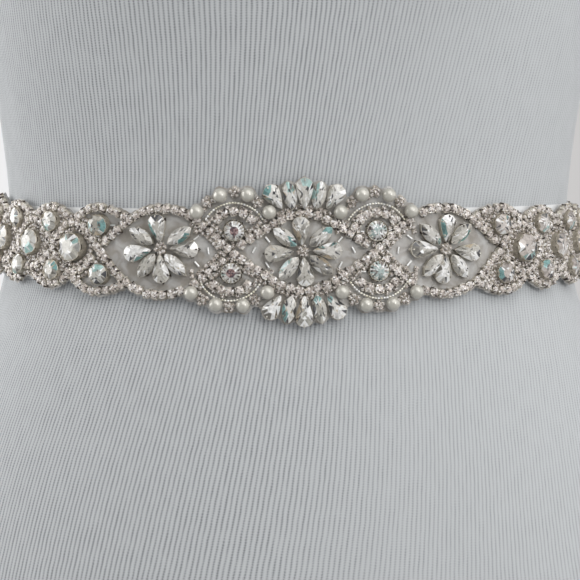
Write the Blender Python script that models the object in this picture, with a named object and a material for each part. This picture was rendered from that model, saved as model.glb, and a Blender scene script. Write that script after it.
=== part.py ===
"""Rhinestone bridal sash tied round the waist of a limbless torso dress form.

Metres, +Z up. The form stands on z = 0 with its vertical axis on the Z axis, and its front faces -Y.
Left and right are the wearer's, so left is +X.

The form is a loft of superellipse rings. The ribbon, the beaded applique and the ribbon's tails are walls
whose points are taken from the form's surface and moved out along its normal. The applique's large
stones, pearls and rhinestone bands are raised in the outer points of its wall.
"""

from __future__ import annotations

import math
from dataclasses import dataclass
from typing import Callable

import bmesh
import bpy
import numpy as np
from mathutils import Vector
from mathutils.geometry import delaunay_2d_cdt
from mathutils.kdtree import KDTree

MM = 0.001

# --- Dress form ---------------------------------------------------------------------------------
WAIST_Z = 260 * MM  # height of the sash's middle line over the floor
BODY_SEGMENTS = 36
BUST_Z, BUST_X = 165 * MM, 66 * MM  # centre of each bust cup, from the waist and from the middle
BUST_RISE = 14 * MM
BUST_SPREAD_X, BUST_SPREAD_Z = 48 * MM, 50 * MM
NECK_CAP_RISE = 10 * MM
NECK_CAP_BEVEL = 3 * MM


@dataclass(frozen=True)
class Ring:
    """One level of the form: height over the waist, half sizes and centre in millimetres."""

    rise: float
    half_width: float
    half_depth: float
    centre_y: float
    squareness: float


BODY_RINGS = (
    Ring(-260, 166.0, 108.0, 4.0, 2.25),
    Ring(-205, 174.0, 116.5, 6.0, 2.25),
    Ring(-150, 169.5, 113.5, 5.5, 2.25),
    Ring(-100, 158.5, 106.0, 3.5, 2.30),
    Ring(-60, 146.5, 98.5, 1.5, 2.30),
    Ring(-34, 137.6, 93.8, 0.5, 2.30),
    Ring(-17, 132.2, 92.0, 0.0, 2.30),
    Ring(8, 128.6, 91.2, 0.0, 2.30),
    Ring(22, 129.1, 91.5, 0.0, 2.30),
    Ring(41, 130.9, 92.6, -0.3, 2.30),
    Ring(71, 135.0, 95.5, -1.0, 2.30),
    Ring(110, 141.5, 100.0, -1.5, 2.25),
    Ring(165, 150.0, 106.0, -1.0, 2.20),
    Ring(220, 153.5, 101.5, 2.0, 2.20),
    Ring(265, 158.0, 91.0, 5.5, 2.20),
    Ring(300, 161.0, 80.0, 8.0, 2.20),
    Ring(324, 155.0, 71.5, 9.5, 2.20),
    Ring(344, 136.0, 65.0, 10.0, 2.15),
    Ring(362, 108.0, 60.5, 9.5, 2.10),
    Ring(380, 80.0, 57.5, 8.5, 2.05),
    Ring(400, 62.0, 55.5, 6.5, 2.00),
    Ring(422, 55.5, 54.0, 4.5, 2.00),
    Ring(460, 54.0, 53.0, 1.0, 2.00),
)
NECK_TOP = BODY_RINGS[-1].rise * MM
RING_STEP_NEAR_SASH, RING_STEP_FAR = 10 * MM, 24 * MM
SASH_REACH = 40 * MM  # the form's rings stay close within this height of the waist

# --- Layers over the form, as offsets along its normal -------------------------------------------
LAYER_GAP = 0.4 * MM
BACKING_GAP = 0.5 * MM
RIBBON_WALL = 1.0 * MM
BACKING_WALL = 1.0 * MM
RIBBON_INNER = LAYER_GAP
RIBBON_OUTER = RIBBON_INNER + RIBBON_WALL
BACKING_INNER = RIBBON_OUTER + BACKING_GAP
BACKING_OUTER = BACKING_INNER + BACKING_WALL
RIBBON_TOP, RIBBON_BOTTOM = 18 * MM, -14 * MM
RIBBON_ROWS = 3
RIBBON_COLUMNS = 84
PATTERN_OFFSET = 5 * MM  # lengths along the sash are measured this far out from the form

# --- Applique layout: s runs round the sash from the centre front, h is height over its middle line ---
CENTRE_CROSSING, FLOWER_CROSSING = 31.0 * MM, 89.5 * MM
END_PITCH = 25.0 * MM
END_FRAMES = 5
CROSSINGS = (CENTRE_CROSSING,) + tuple(FLOWER_CROSSING + k * END_PITCH for k in range(END_FRAMES + 1))
CENTRE_RISE, FLOWER_RISE, END_RISE = 16.6 * MM, 18.3 * MM, 10.6 * MM
CENTRE_POWER, FLOWER_POWER, END_POWER = 0.82, 1.08, 1.2  # how full the weave's arches are
FLOWER_MIDDLE = (CENTRE_CROSSING + FLOWER_CROSSING) / 2
SCALLOP_TOPS = (20.3 * MM, 19.1 * MM, 18.7 * MM, 18.3 * MM, 18.0 * MM)  # crossing by crossing
SCALLOP_DROP = 6.3 * MM
SCALLOP_LEAD = 17.0 * MM  # the first scallop reaches this far towards the flower
SWAY_FROM, SWAY_SLOPE = 80.0 * MM, 0.043  # the wearer's right end run climbs from here
EDGE_MARGIN = 2.7 * MM  # organza beyond the middle of the weave's band
LOBE_CENTRE_H = 6.5 * MM
PEARL_ARC = 17.8 * MM
LOBE_EDGE = PEARL_ARC + 3.7 * MM
LOBE_EDGE_SHARE = 0.85  # the lobe's circle shapes the edge this far each way from its middle
LOBE_BAND_ARC = 10.2 * MM
LOBE_BAND_SWEEP = math.radians(70)
FAN_EDGE_TOP, FAN_HALF_WIDTH, FAN_POWER = 32.4 * MM, 18.2 * MM, 3.6
CENTRE_CUT, FLOWER_CUT = 47.8 * MM, 77.0 * MM  # seams between the stretches
CUT_GAP = 0.3 * MM
APPLIQUE_END = CROSSINGS[-1] + 2.3 * MM
OUTLINE_STEP = 4.2 * MM
FILL_STEP_S, FILL_STEP_H = 8.0 * MM, 9.0 * MM
INNER_STEP_S, INNER_STEP_H = 6.5 * MM, 10.0 * MM
WELD = 0.35 * MM
CDT_EPSILON = 1e-6

# --- Stones --------------------------------------------------------------------------------------
TABLE_SCALE = 0.6  # a stone's flat table, against its outline
BAND_HALF, BAND_RISE = 1.9 * MM, 2.0 * MM
BAND_STEP = 5.0 * MM
PETAL_LENGTH, PEAR_WIDTH, MARQUISE_WIDTH = 12.0 * MM, 7.2 * MM, 5.9 * MM
PETAL_RISE = 4.6 * MM
PETAL_REACH, PETAL_WIDER = 8.7 * MM, 1.5 * MM
FAN_RISE = 4.2 * MM
CUP_RADIUS, CUP_RISE, CUP_PITCH, CUPS = 2.0 * MM, 3.0 * MM, 4.4 * MM, 6
ROSE_RADIUS, ROSE_RISE, ROSE_OUT = 4.5 * MM, 4.0 * MM, 2.1 * MM
PAIR_RADIUS, PAIR_RISE, PAIR_H = 4.4 * MM, 4.8 * MM, 10.6 * MM
ROUND_RADIUS, ROUND_RISE = 5.5 * MM, 5.6 * MM
UNDER_NUDGES = (2.0 * MM, 3.0 * MM, 5.0 * MM, 5.0 * MM, 5.0 * MM)  # the wearer's right under stones, inwards
PEARL_RADIUS, PEARL_RISE, PEARL_SHOULDER = 3.0 * MM, 5.8 * MM, 0.6
ROSETTE_RADIUS, ROSETTE_RISE = 2.4 * MM, 2.6 * MM

# --- Knot and tails ------------------------------------------------------------------------------
KNOT_WIDTH, KNOT_HEIGHT, KNOT_DEPTH = 27 * MM, 35 * MM, 11 * MM
KNOT_COLUMNS, KNOT_ROWS = 14, 7
KNOT_CREASES, KNOT_CREASE_DEPTH = 3, 0.9 * MM
TAIL_TOP = -15.9 * MM
TAIL_LENGTH = 205 * MM
TAIL_SLANT = 14 * MM  # the cut end runs this much lower on its outer edge
TAIL_THROAT, TAIL_WIDTH = 13 * MM, 31 * MM
TAIL_OPENS_OVER = 55 * MM
TAIL_THROAT_X, TAIL_END_X = 8.2 * MM, 34 * MM
TAIL_WALL = 1.0 * MM
TAIL_LIFT, TAIL_WAVE, TAIL_SWING = 0.5 * MM, 1.6 * MM, 1.2 * MM
TAIL_ROWS, TAIL_COLUMNS = 18, 6


@dataclass(frozen=True)
class Finish:
    """Colour, roughness and metallic value of one material."""

    name: str
    colour: tuple[float, float, float]
    roughness: float
    metallic: float = 0.0


JERSEY = Finish("jersey", (0.55, 0.58, 0.61), 0.9)
CAP = Finish("cap", (0.60, 0.62, 0.64), 0.6)
SATIN = Finish("satin", (0.86, 0.86, 0.85), 0.35)
BEADED = Finish("beaded", (0.66, 0.64, 0.62), 0.25, 0.6)


# --- Form surface --------------------------------------------------------------------------------
def signed_power(value: float, exponent: float) -> float:
    """Return |value| raised to exponent with the sign of value."""
    return math.copysign(abs(value) ** exponent, value)


def catmull_rom(xs: list[float], ys: list[float], x: float) -> float:
    """Return the smooth curve through (xs, ys) at x, by cubic Hermite pieces with finite-difference slopes."""
    k = min(max(int(np.searchsorted(xs, x)) - 1, 0), len(xs) - 2)

    def slope(i: int) -> float:
        low, high = max(i - 1, 0), min(i + 1, len(xs) - 1)
        return (ys[high] - ys[low]) / (xs[high] - xs[low])

    span = xs[k + 1] - xs[k]
    u = min(max((x - xs[k]) / span, 0.0), 1.0)
    start, end = slope(k) * span, slope(k + 1) * span
    return (
        (2 * u**3 - 3 * u**2 + 1) * ys[k]
        + (u**3 - 2 * u**2 + u) * start
        + (3 * u**2 - 2 * u**3) * ys[k + 1]
        + (u**3 - u**2) * end
    )


RISES = [ring.rise * MM for ring in BODY_RINGS]


def level(rise: float) -> tuple[float, float, float, float]:
    """Return half width, half depth, centre y and squareness of the form at a height over the waist."""
    columns = (
        [ring.half_width * MM for ring in BODY_RINGS],
        [ring.half_depth * MM for ring in BODY_RINGS],
        [ring.centre_y * MM for ring in BODY_RINGS],
        [ring.squareness for ring in BODY_RINGS],
    )
    width, depth, centre, square = (catmull_rom(RISES, column, rise) for column in columns)
    return width, depth, centre, square


def bust(x: float, rise: float) -> float:
    """Return how far the bust stands forward at a place on the front."""
    tall = math.exp(-(((rise - BUST_Z) / BUST_SPREAD_Z) ** 2))
    wide = sum(math.exp(-(((x - side * BUST_X) / BUST_SPREAD_X) ** 2)) for side in (-1, 1))
    return BUST_RISE * tall * wide


def body_point(turn: float, rise: float) -> Vector:
    """Return the form's surface at a turn from the centre front (towards +X) and a height over the waist."""
    width, depth, centre, square = level(rise)
    x = width * signed_power(math.sin(turn), 2 / square)
    y = centre - depth * signed_power(math.cos(turn), 2 / square)
    if math.cos(turn) > 0:
        y -= bust(x, rise) * math.cos(turn) ** 2
    return Vector((x, y, WAIST_Z + rise))


def outward(turn: float, rise: float) -> Vector:
    """Return the form's unit normal, pointing out."""
    small = 0.004
    low, high = rise - small * 0.25, rise + small * 0.25
    across = body_point(turn + small, rise) - body_point(turn - small, rise)
    up = body_point(turn, high) - body_point(turn, low)
    return across.cross(up).normalized()


def turn_table() -> tuple[np.ndarray, np.ndarray]:
    """Return turns and the arc length of each from the centre front, on the waist moved out to the stones."""
    turns = np.linspace(0.0, math.pi, 1441)
    points = [body_point(turn, 0.0) + outward(turn, 0.0) * PATTERN_OFFSET for turn in turns]
    steps = [(b - a).length for a, b in zip(points, points[1:])]
    return turns, np.concatenate([[0.0], np.cumsum(steps)])


TURNS, LENGTHS = turn_table()
HALF_ROUND = float(LENGTHS[-1])


def turn_at(s: float) -> float:
    """Return the turn that lies an arc length s round the sash from the centre front."""
    return math.copysign(float(np.interp(abs(s), LENGTHS, TURNS)), s)


def on_form(s: float, h: float, offset: float) -> Vector:
    """Return the point at sash coordinates (s, h), moved out from the form."""
    turn = turn_at(s)
    return body_point(turn, h) + outward(turn, h) * offset


# --- Objects -------------------------------------------------------------------------------------
def material(finish: Finish) -> bpy.types.Material:
    """Return the material of a finish, made once."""
    found = bpy.data.materials.get(finish.name)
    if found:
        return found
    made = bpy.data.materials.new(finish.name)
    made.use_nodes = True
    shader = made.node_tree.nodes["Principled BSDF"]
    shader.inputs["Base Color"].default_value = (*finish.colour, 1.0)
    shader.inputs["Roughness"].default_value = finish.roughness
    shader.inputs["Metallic"].default_value = finish.metallic
    made.diffuse_color = (*finish.colour, 1.0)
    return made


def add_object(
    name: str, mesh_data: bmesh.types.BMesh, finish: Finish, sharp_degrees: float = 40.0
) -> bpy.types.Object:
    """Turn a bmesh in world coordinates into a named object with outward faces, and free the bmesh."""
    bmesh.ops.recalc_face_normals(mesh_data, faces=mesh_data.faces)
    mesh = bpy.data.meshes.new(name)
    mesh_data.to_mesh(mesh)
    mesh_data.free()
    mesh.materials.append(material(finish))
    mesh.shade_smooth()
    mesh.set_sharp_from_angle(angle=math.radians(sharp_degrees))
    made = bpy.data.objects.new(name, mesh)
    bpy.context.scene.collection.objects.link(made)
    return made


def loft(rings: list[list[Vector]]) -> bmesh.types.BMesh:
    """Skin rings of equal length, with a face on the first and on the last ring."""
    skin = bmesh.new()
    rows = [[skin.verts.new(point) for point in ring] for ring in rings]
    for low, high in zip(rows, rows[1:]):
        for i in range(len(low)):
            j = (i + 1) % len(low)
            skin.faces.new((low[i], low[j], high[j], high[i]))
    skin.faces.new(list(reversed(rows[0])))
    skin.faces.new(rows[-1])
    return skin


# --- Dress form ----------------------------------------------------------------------------------
def ring_heights() -> list[float]:
    """Return the heights of the form's rings over the waist: close by the sash, wider elsewhere."""
    near = list(np.arange(-SASH_REACH, SASH_REACH + MM, RING_STEP_NEAR_SASH))
    below = np.linspace(RISES[0], near[0], round((near[0] - RISES[0]) / RING_STEP_FAR) + 1)
    above = np.linspace(near[-1], NECK_TOP, round((NECK_TOP - near[-1]) / RING_STEP_FAR) + 1)
    return [float(z) for z in (*below[:-1], *near, *above[1:])]


def build_form() -> None:
    """Build the torso and the plain cap on its neck."""
    turns = [turn_at(s) for s in np.linspace(-HALF_ROUND, HALF_ROUND, BODY_SEGMENTS, endpoint=False)]
    torso = loft([[body_point(turn, rise) for turn in turns] for rise in ring_heights()])
    add_object("form_body", torso, JERSEY)

    width, depth, centre, _ = level(NECK_TOP)
    cap = []
    for rise, inset in (
        (LAYER_GAP, NECK_CAP_BEVEL * 0.3),
        (NECK_CAP_RISE - NECK_CAP_BEVEL, 0.0),
        (NECK_CAP_RISE, NECK_CAP_BEVEL),
    ):
        cap.append(
            [
                Vector(
                    (
                        (width - inset) * math.sin(turn),
                        centre - (depth - inset) * math.cos(turn),
                        WAIST_Z + NECK_TOP + rise,
                    )
                )
                for turn in np.linspace(0, 2 * math.pi, 32, endpoint=False)
            ]
        )
    add_object("form_neck_cap", loft(cap), CAP)


# --- Ribbon --------------------------------------------------------------------------------------
def build_ribbon_band() -> None:
    """Build the satin ribbon's run round the waist as one closed wall."""
    heights = np.linspace(RIBBON_BOTTOM, RIBBON_TOP, RIBBON_ROWS + 1)
    section = [(h, RIBBON_OUTER) for h in heights] + [(h, RIBBON_INNER) for h in reversed(heights)]
    band = bmesh.new()
    rows = [
        [band.verts.new(on_form(s, h, offset)) for h, offset in section]
        for s in np.linspace(-HALF_ROUND, HALF_ROUND, RIBBON_COLUMNS, endpoint=False)
    ]
    for here, after in zip(rows, rows[1:] + rows[:1]):
        for i in range(len(section)):
            j = (i + 1) % len(section)
            band.faces.new((here[i], after[i], after[j], here[j]))
    add_object("ribbon_band", band, SATIN)


# --- Applique outline and bands ------------------------------------------------------------------
def weave_height(s: float) -> float:
    """Return the height of the upper rhinestone band's middle: it meets the lower one at each crossing."""
    reach = abs(s)
    if reach <= CENTRE_CROSSING:
        middle, half, rise, power = 0.0, CENTRE_CROSSING, CENTRE_RISE, CENTRE_POWER
    elif reach <= FLOWER_CROSSING:
        middle, half, rise, power = FLOWER_MIDDLE, FLOWER_CROSSING - FLOWER_MIDDLE, FLOWER_RISE, FLOWER_POWER
    else:
        index = min(int((reach - FLOWER_CROSSING) / END_PITCH), END_FRAMES - 1)
        middle = FLOWER_CROSSING + (index + 0.5) * END_PITCH
        half, rise, power = END_PITCH / 2, END_RISE, END_POWER
    away = min(abs(reach - middle) / half, 1.0)
    return rise * math.cos(math.pi / 2 * away**power)


def sway(s: float) -> float:
    """Return how far the applique has climbed at s, on the wearer's right side."""
    return SWAY_SLOPE * max(-s - SWAY_FROM, 0.0)


def scallop_height(s: float) -> float:
    """Return the height of the end runs' scallops, one over each crossing, or 0 past the last one."""
    past = abs(s) - FLOWER_CROSSING
    if not -SCALLOP_LEAD <= past < (END_FRAMES - 0.5) * END_PITCH:
        return 0.0
    index = max(round(past / END_PITCH), 0)
    away = past / SCALLOP_LEAD if past < 0 else (past - index * END_PITCH) / (END_PITCH / 2)
    return SCALLOP_TOPS[index] - SCALLOP_DROP * away**2


def edge_height(s: float) -> float:
    """Return the half height of the whole applique at s."""
    reach = abs(s)
    edge = max(weave_height(s) + EDGE_MARGIN, scallop_height(s))
    across = reach - CENTRE_CROSSING
    if abs(across) < LOBE_EDGE_SHARE * LOBE_EDGE:
        edge = max(edge, LOBE_CENTRE_H + math.sqrt(LOBE_EDGE**2 - across**2))
    if reach < FAN_HALF_WIDTH:
        edge = max(edge, FAN_EDGE_TOP * (1 - (reach / FAN_HALF_WIDTH) ** FAN_POWER) ** (1 / FAN_POWER))
    return edge


Point = tuple[float, float]


@dataclass
class Relief:
    """A raised shape on the applique: rings to draw in the wall and its height at any point."""

    rings: list[list[Point]]
    height: Callable[[float, float], float]
    closed: bool = True


def gem_outline(kind: str, half_length: float, half_width: float, sides: int) -> list[Point]:
    """Return a stone's outline about its middle, with its narrow end towards -X."""
    points = []
    for k in range(sides):
        angle = 2 * math.pi * k / sides
        if kind == "round":
            points.append((half_length * math.cos(angle), half_width * math.sin(angle)))
            continue
        along = math.cos(angle)
        if kind == "marquise":
            breadth = abs(math.sin(angle)) ** 1.5
        else:
            breadth = abs(math.sin(angle)) * (0.62 + 0.38 * along) * 1.18
        points.append((half_length * along, math.copysign(half_width * breadth, math.sin(angle))))
    return points


def reach_of(outline: list[Point], angle: float) -> float:
    """Return how far a star-shaped outline lies from its middle in one direction."""
    ray = (math.cos(angle), math.sin(angle))
    best = 1e-6
    for (x1, y1), (x2, y2) in zip(outline, outline[1:] + outline[:1]):
        cross = ray[0] * (y2 - y1) - ray[1] * (x2 - x1)
        if abs(cross) < 1e-12:
            continue
        distance = (x1 * (y2 - y1) - y1 * (x2 - x1)) / cross
        share = (x1 * ray[1] - y1 * ray[0]) / cross
        if distance > 0 and -1e-6 <= share <= 1 + 1e-6:
            best = max(best, distance)
    return best


def stone(
    centre: Point, angle: float, kind: str, length: float, width: float, rise: float, sides: int
) -> Relief:
    """Return a faceted stone: sloping sides and a flat table."""
    outline = gem_outline(kind, length / 2, width / 2, sides)
    levels = ((1.0, 0.0), (TABLE_SCALE, rise), (0.0, rise))
    turn_x, turn_y = math.cos(angle), math.sin(angle)

    def ring(scale: float) -> list[Point]:
        return [
            (
                centre[0] + scale * (x * turn_x - y * turn_y),
                centre[1] + scale * (x * turn_y + y * turn_x),
            )
            for x, y in outline
        ]

    def height(s: float, h: float) -> float:
        ds, dh = s - centre[0], h - centre[1]
        away = math.hypot(ds, dh)
        if away > length:
            return 0.0
        local = math.atan2(dh, ds) - angle
        scale = away / reach_of(outline, local)
        scales, heights = zip(*reversed(levels))
        return float(np.interp(scale, scales, heights, right=0.0))

    return Relief([ring(1.0), ring(TABLE_SCALE)], height)


def pearl(centre: Point) -> Relief:
    """Return a pearl as a steep dome."""
    levels = ((1.0, 0.0), (PEARL_SHOULDER, 0.85), (0.0, 1.0))

    def ring(scale: float) -> list[Point]:
        return [
            (
                centre[0] + scale * PEARL_RADIUS * math.cos(2 * math.pi * k / 8),
                centre[1] + scale * PEARL_RADIUS * math.sin(2 * math.pi * k / 8),
            )
            for k in range(8)
        ]

    def height(s: float, h: float) -> float:
        scales, heights = zip(*reversed(levels))
        scale = math.hypot(s - centre[0], h - centre[1]) / (PEARL_RADIUS * 0.98)
        return PEARL_RISE * float(np.interp(scale, scales, heights, right=0.0))

    return Relief([ring(1.0), ring(PEARL_SHOULDER), [centre]], height)


def band(middle: list[Point], half: float, rise: float) -> Relief:
    """Return a raised band along a line, highest in its middle."""
    line = np.array(middle)
    tangent = np.gradient(line, axis=0)
    tangent /= np.linalg.norm(tangent, axis=1)[:, None]
    normal = np.stack([-tangent[:, 1], tangent[:, 0]], axis=1)

    def side(offset: float) -> list[Point]:
        return [tuple(point) for point in line + normal * offset]

    def height(s: float, h: float) -> float:
        here = np.array((s, h))
        starts, ends = line[:-1], line[1:]
        along = ends - starts
        share = np.clip(((here - starts) * along).sum(1) / (along**2).sum(1), 0, 1)
        away = np.linalg.norm(starts + share[:, None] * along - here, axis=1).min()
        return float(np.interp(away, (0.0, half), (rise, 0.0)))

    rings = [side(offset) for offset in (-half, 0.0, half)]
    return Relief(rings, height, closed=False)


# --- Applique layout -----------------------------------------------------------------------------
@dataclass(frozen=True)
class Petal:
    """One petal of the three flowers: its cut and its direction in degrees in each flower."""

    cut: str
    centre: float
    right: float
    left: float


PETALS = (
    Petal("pear", 0, -1, -8),
    Petal("marquise", 38, 34, 41),
    Petal("pear", 94, 100, 85),
    Petal("marquise", 143, 150, 137),
    Petal("pear", 184, 190, 180),
    Petal("marquise", 230, 234, 226),
    Petal("pear", 275, 275, 260),
    Petal("marquise", 322, 314, 307),
)


@dataclass(frozen=True)
class FanStone:
    """One stone of a fan: cut, place in millimetres, lean from upright in degrees and length."""

    cut: str
    s: float
    h: float
    lean: float
    length: float


FAN_STONES = (
    FanStone("pear", -12.6, 23.2, -34, 11.2),
    FanStone("marquise", -6.2, 24.3, -11, 11.8),
    FanStone("pear", 0.0, 25.0, 0, 13.0),
    FanStone("marquise", 6.2, 24.3, 11, 11.8),
    FanStone("pear", 12.6, 23.2, 34, 11.2),
)


@dataclass(frozen=True)
class Lobe:
    """One of the four lobes beside the centre: which side, over (1) or under (-1), and its offset in mm."""

    side_x: int
    side: int
    aside: float
    upward: float


LOBES = (Lobe(-1, 1, 1.5, 0.4), Lobe(-1, -1, 0.5, -0.2), Lobe(1, 1, 0.0, 0.1), Lobe(1, -1, 0.4, 0.5))
PEARLS = {
    1: ((15.3, 17.0), (24.3, 24.4), (35.7, 24.1), (45.7, 17.1)),
    -1: ((15.4, 17.0), (25.1, 22.5), (36.2, 22.2), (46.7, 17.4)),
}  # s and h in millimetres, over (1) and under (-1) the middle line
ROSETTES = {
    1: ((20.3, 21.0), (29.9, 25.3), (41.2, 21.0)),
    -1: ((20.4, 20.1), (30.8, 22.9), (42.0, 20.2)),
}
FLOWER_MIDDLES = {
    "centre": (-0.6 * MM, 0.4 * MM),
    "right": (-60.6 * MM, 1.3 * MM),
    "left": (61.5 * MM, 0.6 * MM),
}


def flower(middle: Point, directions: list[tuple[str, float]]) -> list[Relief]:
    """Return eight petals, each with its narrow end towards the flower's middle."""
    petals = []
    for cut, degrees in directions:
        angle = math.radians(degrees)
        reach = PETAL_REACH + PETAL_WIDER * math.cos(angle) ** 2
        place = (middle[0] + reach * math.cos(angle), middle[1] + reach * math.sin(angle))
        width = PEAR_WIDTH if cut == "pear" else MARQUISE_WIDTH
        petals.append(stone(place, angle, cut, PETAL_LENGTH, width, PETAL_RISE, 8))
    return petals


def centre_stones() -> list[Relief]:
    """Return the fans, cup arcs, sawtooth rounds, pearls and rosettes of the middle."""
    made = []
    for side in (1, -1):
        for row in FAN_STONES:
            angle = side * math.radians(90 - row.lean)
            width = PEAR_WIDTH if row.cut == "pear" else MARQUISE_WIDTH
            place = (row.s * MM, side * row.h * MM)
            made.append(stone(place, angle, row.cut, row.length * MM, width, FAN_RISE, 8))
        for k in range(CUPS):
            s = (k - (CUPS - 1) / 2) * CUP_PITCH
            size = 2 * CUP_RADIUS
            made.append(stone((s, side * weave_height(s)), 0, "round", size, size, CUP_RISE, 6))
    for lobe in LOBES:
        aside = lobe.aside * MM
        middle = (lobe.side_x * CENTRE_CROSSING + aside, lobe.side * LOBE_CENTRE_H + lobe.upward * MM)
        size = 2 * ROSE_RADIUS
        made.append(stone((middle[0], middle[1] + lobe.side * ROSE_OUT), 0, "round", size, size, ROSE_RISE, 8))
        for s, h in PEARLS[lobe.side]:
            made.append(pearl((lobe.side_x * s * MM + 0.4 * aside, lobe.side * h * MM)))
        for s, h in ROSETTES[lobe.side]:
            size = 2 * ROSETTE_RADIUS
            place = (lobe.side_x * s * MM + 0.4 * aside, lobe.side * h * MM)
            made.append(stone(place, 0, "round", size, size, ROSETTE_RISE, 6))
        sweep = np.linspace(-LOBE_BAND_SWEEP, LOBE_BAND_SWEEP, 9)
        arc = [around(middle, LOBE_BAND_ARC, math.degrees(angle), lobe.side) for angle in sweep]
        made.append(band(arc, BAND_HALF, BAND_RISE))
    return made


def around(middle: Point, radius: float, degrees: float, side: int) -> Point:
    """Return a point on a circle, by its angle from straight up (side 1) or straight down (side -1)."""
    angle = math.radians(degrees)
    return middle[0] + radius * math.sin(angle), middle[1] + side * radius * math.cos(angle)


def end_stones(side_x: int) -> list[Relief]:
    """Return the rounds of one end run: one in each frame and one over and under each crossing."""
    made = []
    for k in range(END_FRAMES):
        crossing = FLOWER_CROSSING + k * END_PITCH
        size = 2 * ROUND_RADIUS
        made.append(stone((side_x * (crossing + END_PITCH / 2), 0.0), 0, "round", size, size, ROUND_RISE, 8))
        for side in (-1, 1):
            size = 2 * PAIR_RADIUS
            nudge = UNDER_NUDGES[k] if (side_x, side) == (-1, -1) else 0.0
            made.append(stone((side_x * crossing + nudge, side * PAIR_H), 0, "round", size, size, PAIR_RISE, 8))
    return made


def weave_bands() -> list[Relief]:
    """Return the two rhinestone bands that weave along the whole applique, cut at their crossings."""
    stops = (0.0, *CROSSINGS)
    made = []
    for start, end in zip(stops, stops[1:]):
        steps = max(3, round((end - start) / BAND_STEP))
        for side_x in (-1, 1):
            for side in (-1, 1):
                line = [(side_x * s, side * weave_height(s)) for s in np.linspace(start, end, steps + 1)]
                made.append(band(line, BAND_HALF, BAND_RISE))
    return made


# --- Applique walls ------------------------------------------------------------------------------
def inside(polygon: list[Point], s: float, h: float) -> bool:
    """Return whether a point lies in a polygon, by counting crossings."""
    odd = False
    for (x1, y1), (x2, y2) in zip(polygon, polygon[1:] + polygon[:1]):
        if (y1 > h) != (y2 > h) and s < (x2 - x1) * (h - y1) / (y2 - y1) + x1:
            odd = not odd
    return odd


def stretch_outline(start: float, end: float) -> list[Point]:
    """Return the outline of the applique between two lengths along it."""
    count = max(2, round((end - start) / OUTLINE_STEP))
    reach = np.linspace(start, end, count + 1)
    top = [(float(s), edge_height(float(s))) for s in reach]
    return [(s, -h) for s, h in top] + list(reversed(top))


def fill_points(outline: list[Point], step_s: float, step_h: float) -> list[Point]:
    """Return a grid of points well inside an outline, so that a large plain area still follows the form."""
    low, high = min(p[0] for p in outline), max(p[0] for p in outline)
    tall = max(p[1] for p in outline)
    columns = np.linspace(low, high, max(2, round((high - low) / step_s)) + 1)[1:-1]
    rows = np.linspace(-tall, tall, max(2, round(2 * tall / step_h)) + 1)[1:-1]
    margin = 1.2 * MM
    return [
        (float(s), float(h))
        for s in columns
        for h in rows
        if abs(h) < edge_height(float(s)) - margin
    ]


def weld_points(points: list[Vector]) -> list[Vector]:
    """Return the points without those that lie closer than WELD to an earlier one."""
    kept: list[Vector] = []
    for point in points:
        if all((other - point).length >= WELD for other in kept):
            kept.append(point)
    return kept


def plane_mesh(
    outline: list[Point], lines: list[tuple[list[Point], bool]], loose: list[Point], weld: bool
) -> bmesh.types.BMesh:
    """Triangulate an outline with the given lines and points in it, and weld points that nearly meet."""
    points, edges = [], []
    for line, closed in [(outline, True), *lines]:
        first = len(points)
        points.extend(Vector(point) for point in line)
        pairs = [(first + k, first + k + 1) for k in range(len(line) - 1)]
        edges.extend(pairs + [(first + len(line) - 1, first)] if closed else pairs)
    points.extend(Vector(point) for point in loose)
    spots, drawn, faces, _, sources, _ = delaunay_2d_cdt(points, edges, [], 0, CDT_EPSILON)
    if weld:
        drawn_edges = [edge for edge, source in zip(drawn, sources) if source]
        points = weld_points([*points[: len(outline)], *spots])
        lookup = KDTree(len(points))
        for k, point in enumerate(points):
            lookup.insert((point.x, point.y, 0.0), k)
        lookup.balance()
        index = [lookup.find((spot.x, spot.y, 0.0))[1] for spot in spots]
        pairs = {tuple(sorted((index[a], index[b]))) for a, b in drawn_edges}
        edges = sorted(pair for pair in pairs if pair[0] != pair[1])
        spots, _, faces, *_ = delaunay_2d_cdt(points, edges, [], 0, CDT_EPSILON)
    flat = bmesh.new()
    verts = [flat.verts.new((spot.x, spot.y, 0.0)) for spot in spots]
    for face in faces:
        middle = sum((spots[k] for k in face), Vector((0.0, 0.0))) / len(face)
        if inside(outline, middle.x, middle.y):
            flat.faces.new([verts[k] for k in face])
    bmesh.ops.delete(flat, geom=[v for v in flat.verts if not v.link_faces], context="VERTS")
    return flat


def border_loop(flat: bmesh.types.BMesh) -> list[bmesh.types.BMVert]:
    """Return the vertices of a plane mesh's single border, in order."""
    border = [edge for edge in flat.edges if edge.is_boundary]
    start = border[0].verts[0]
    loop, last, here = [start], None, start
    while True:
        edge = next(e for e in here.link_edges if e.is_boundary and e is not last)
        here, last = edge.other_vert(here), edge
        if here is start:
            return loop
        loop.append(here)


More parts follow.
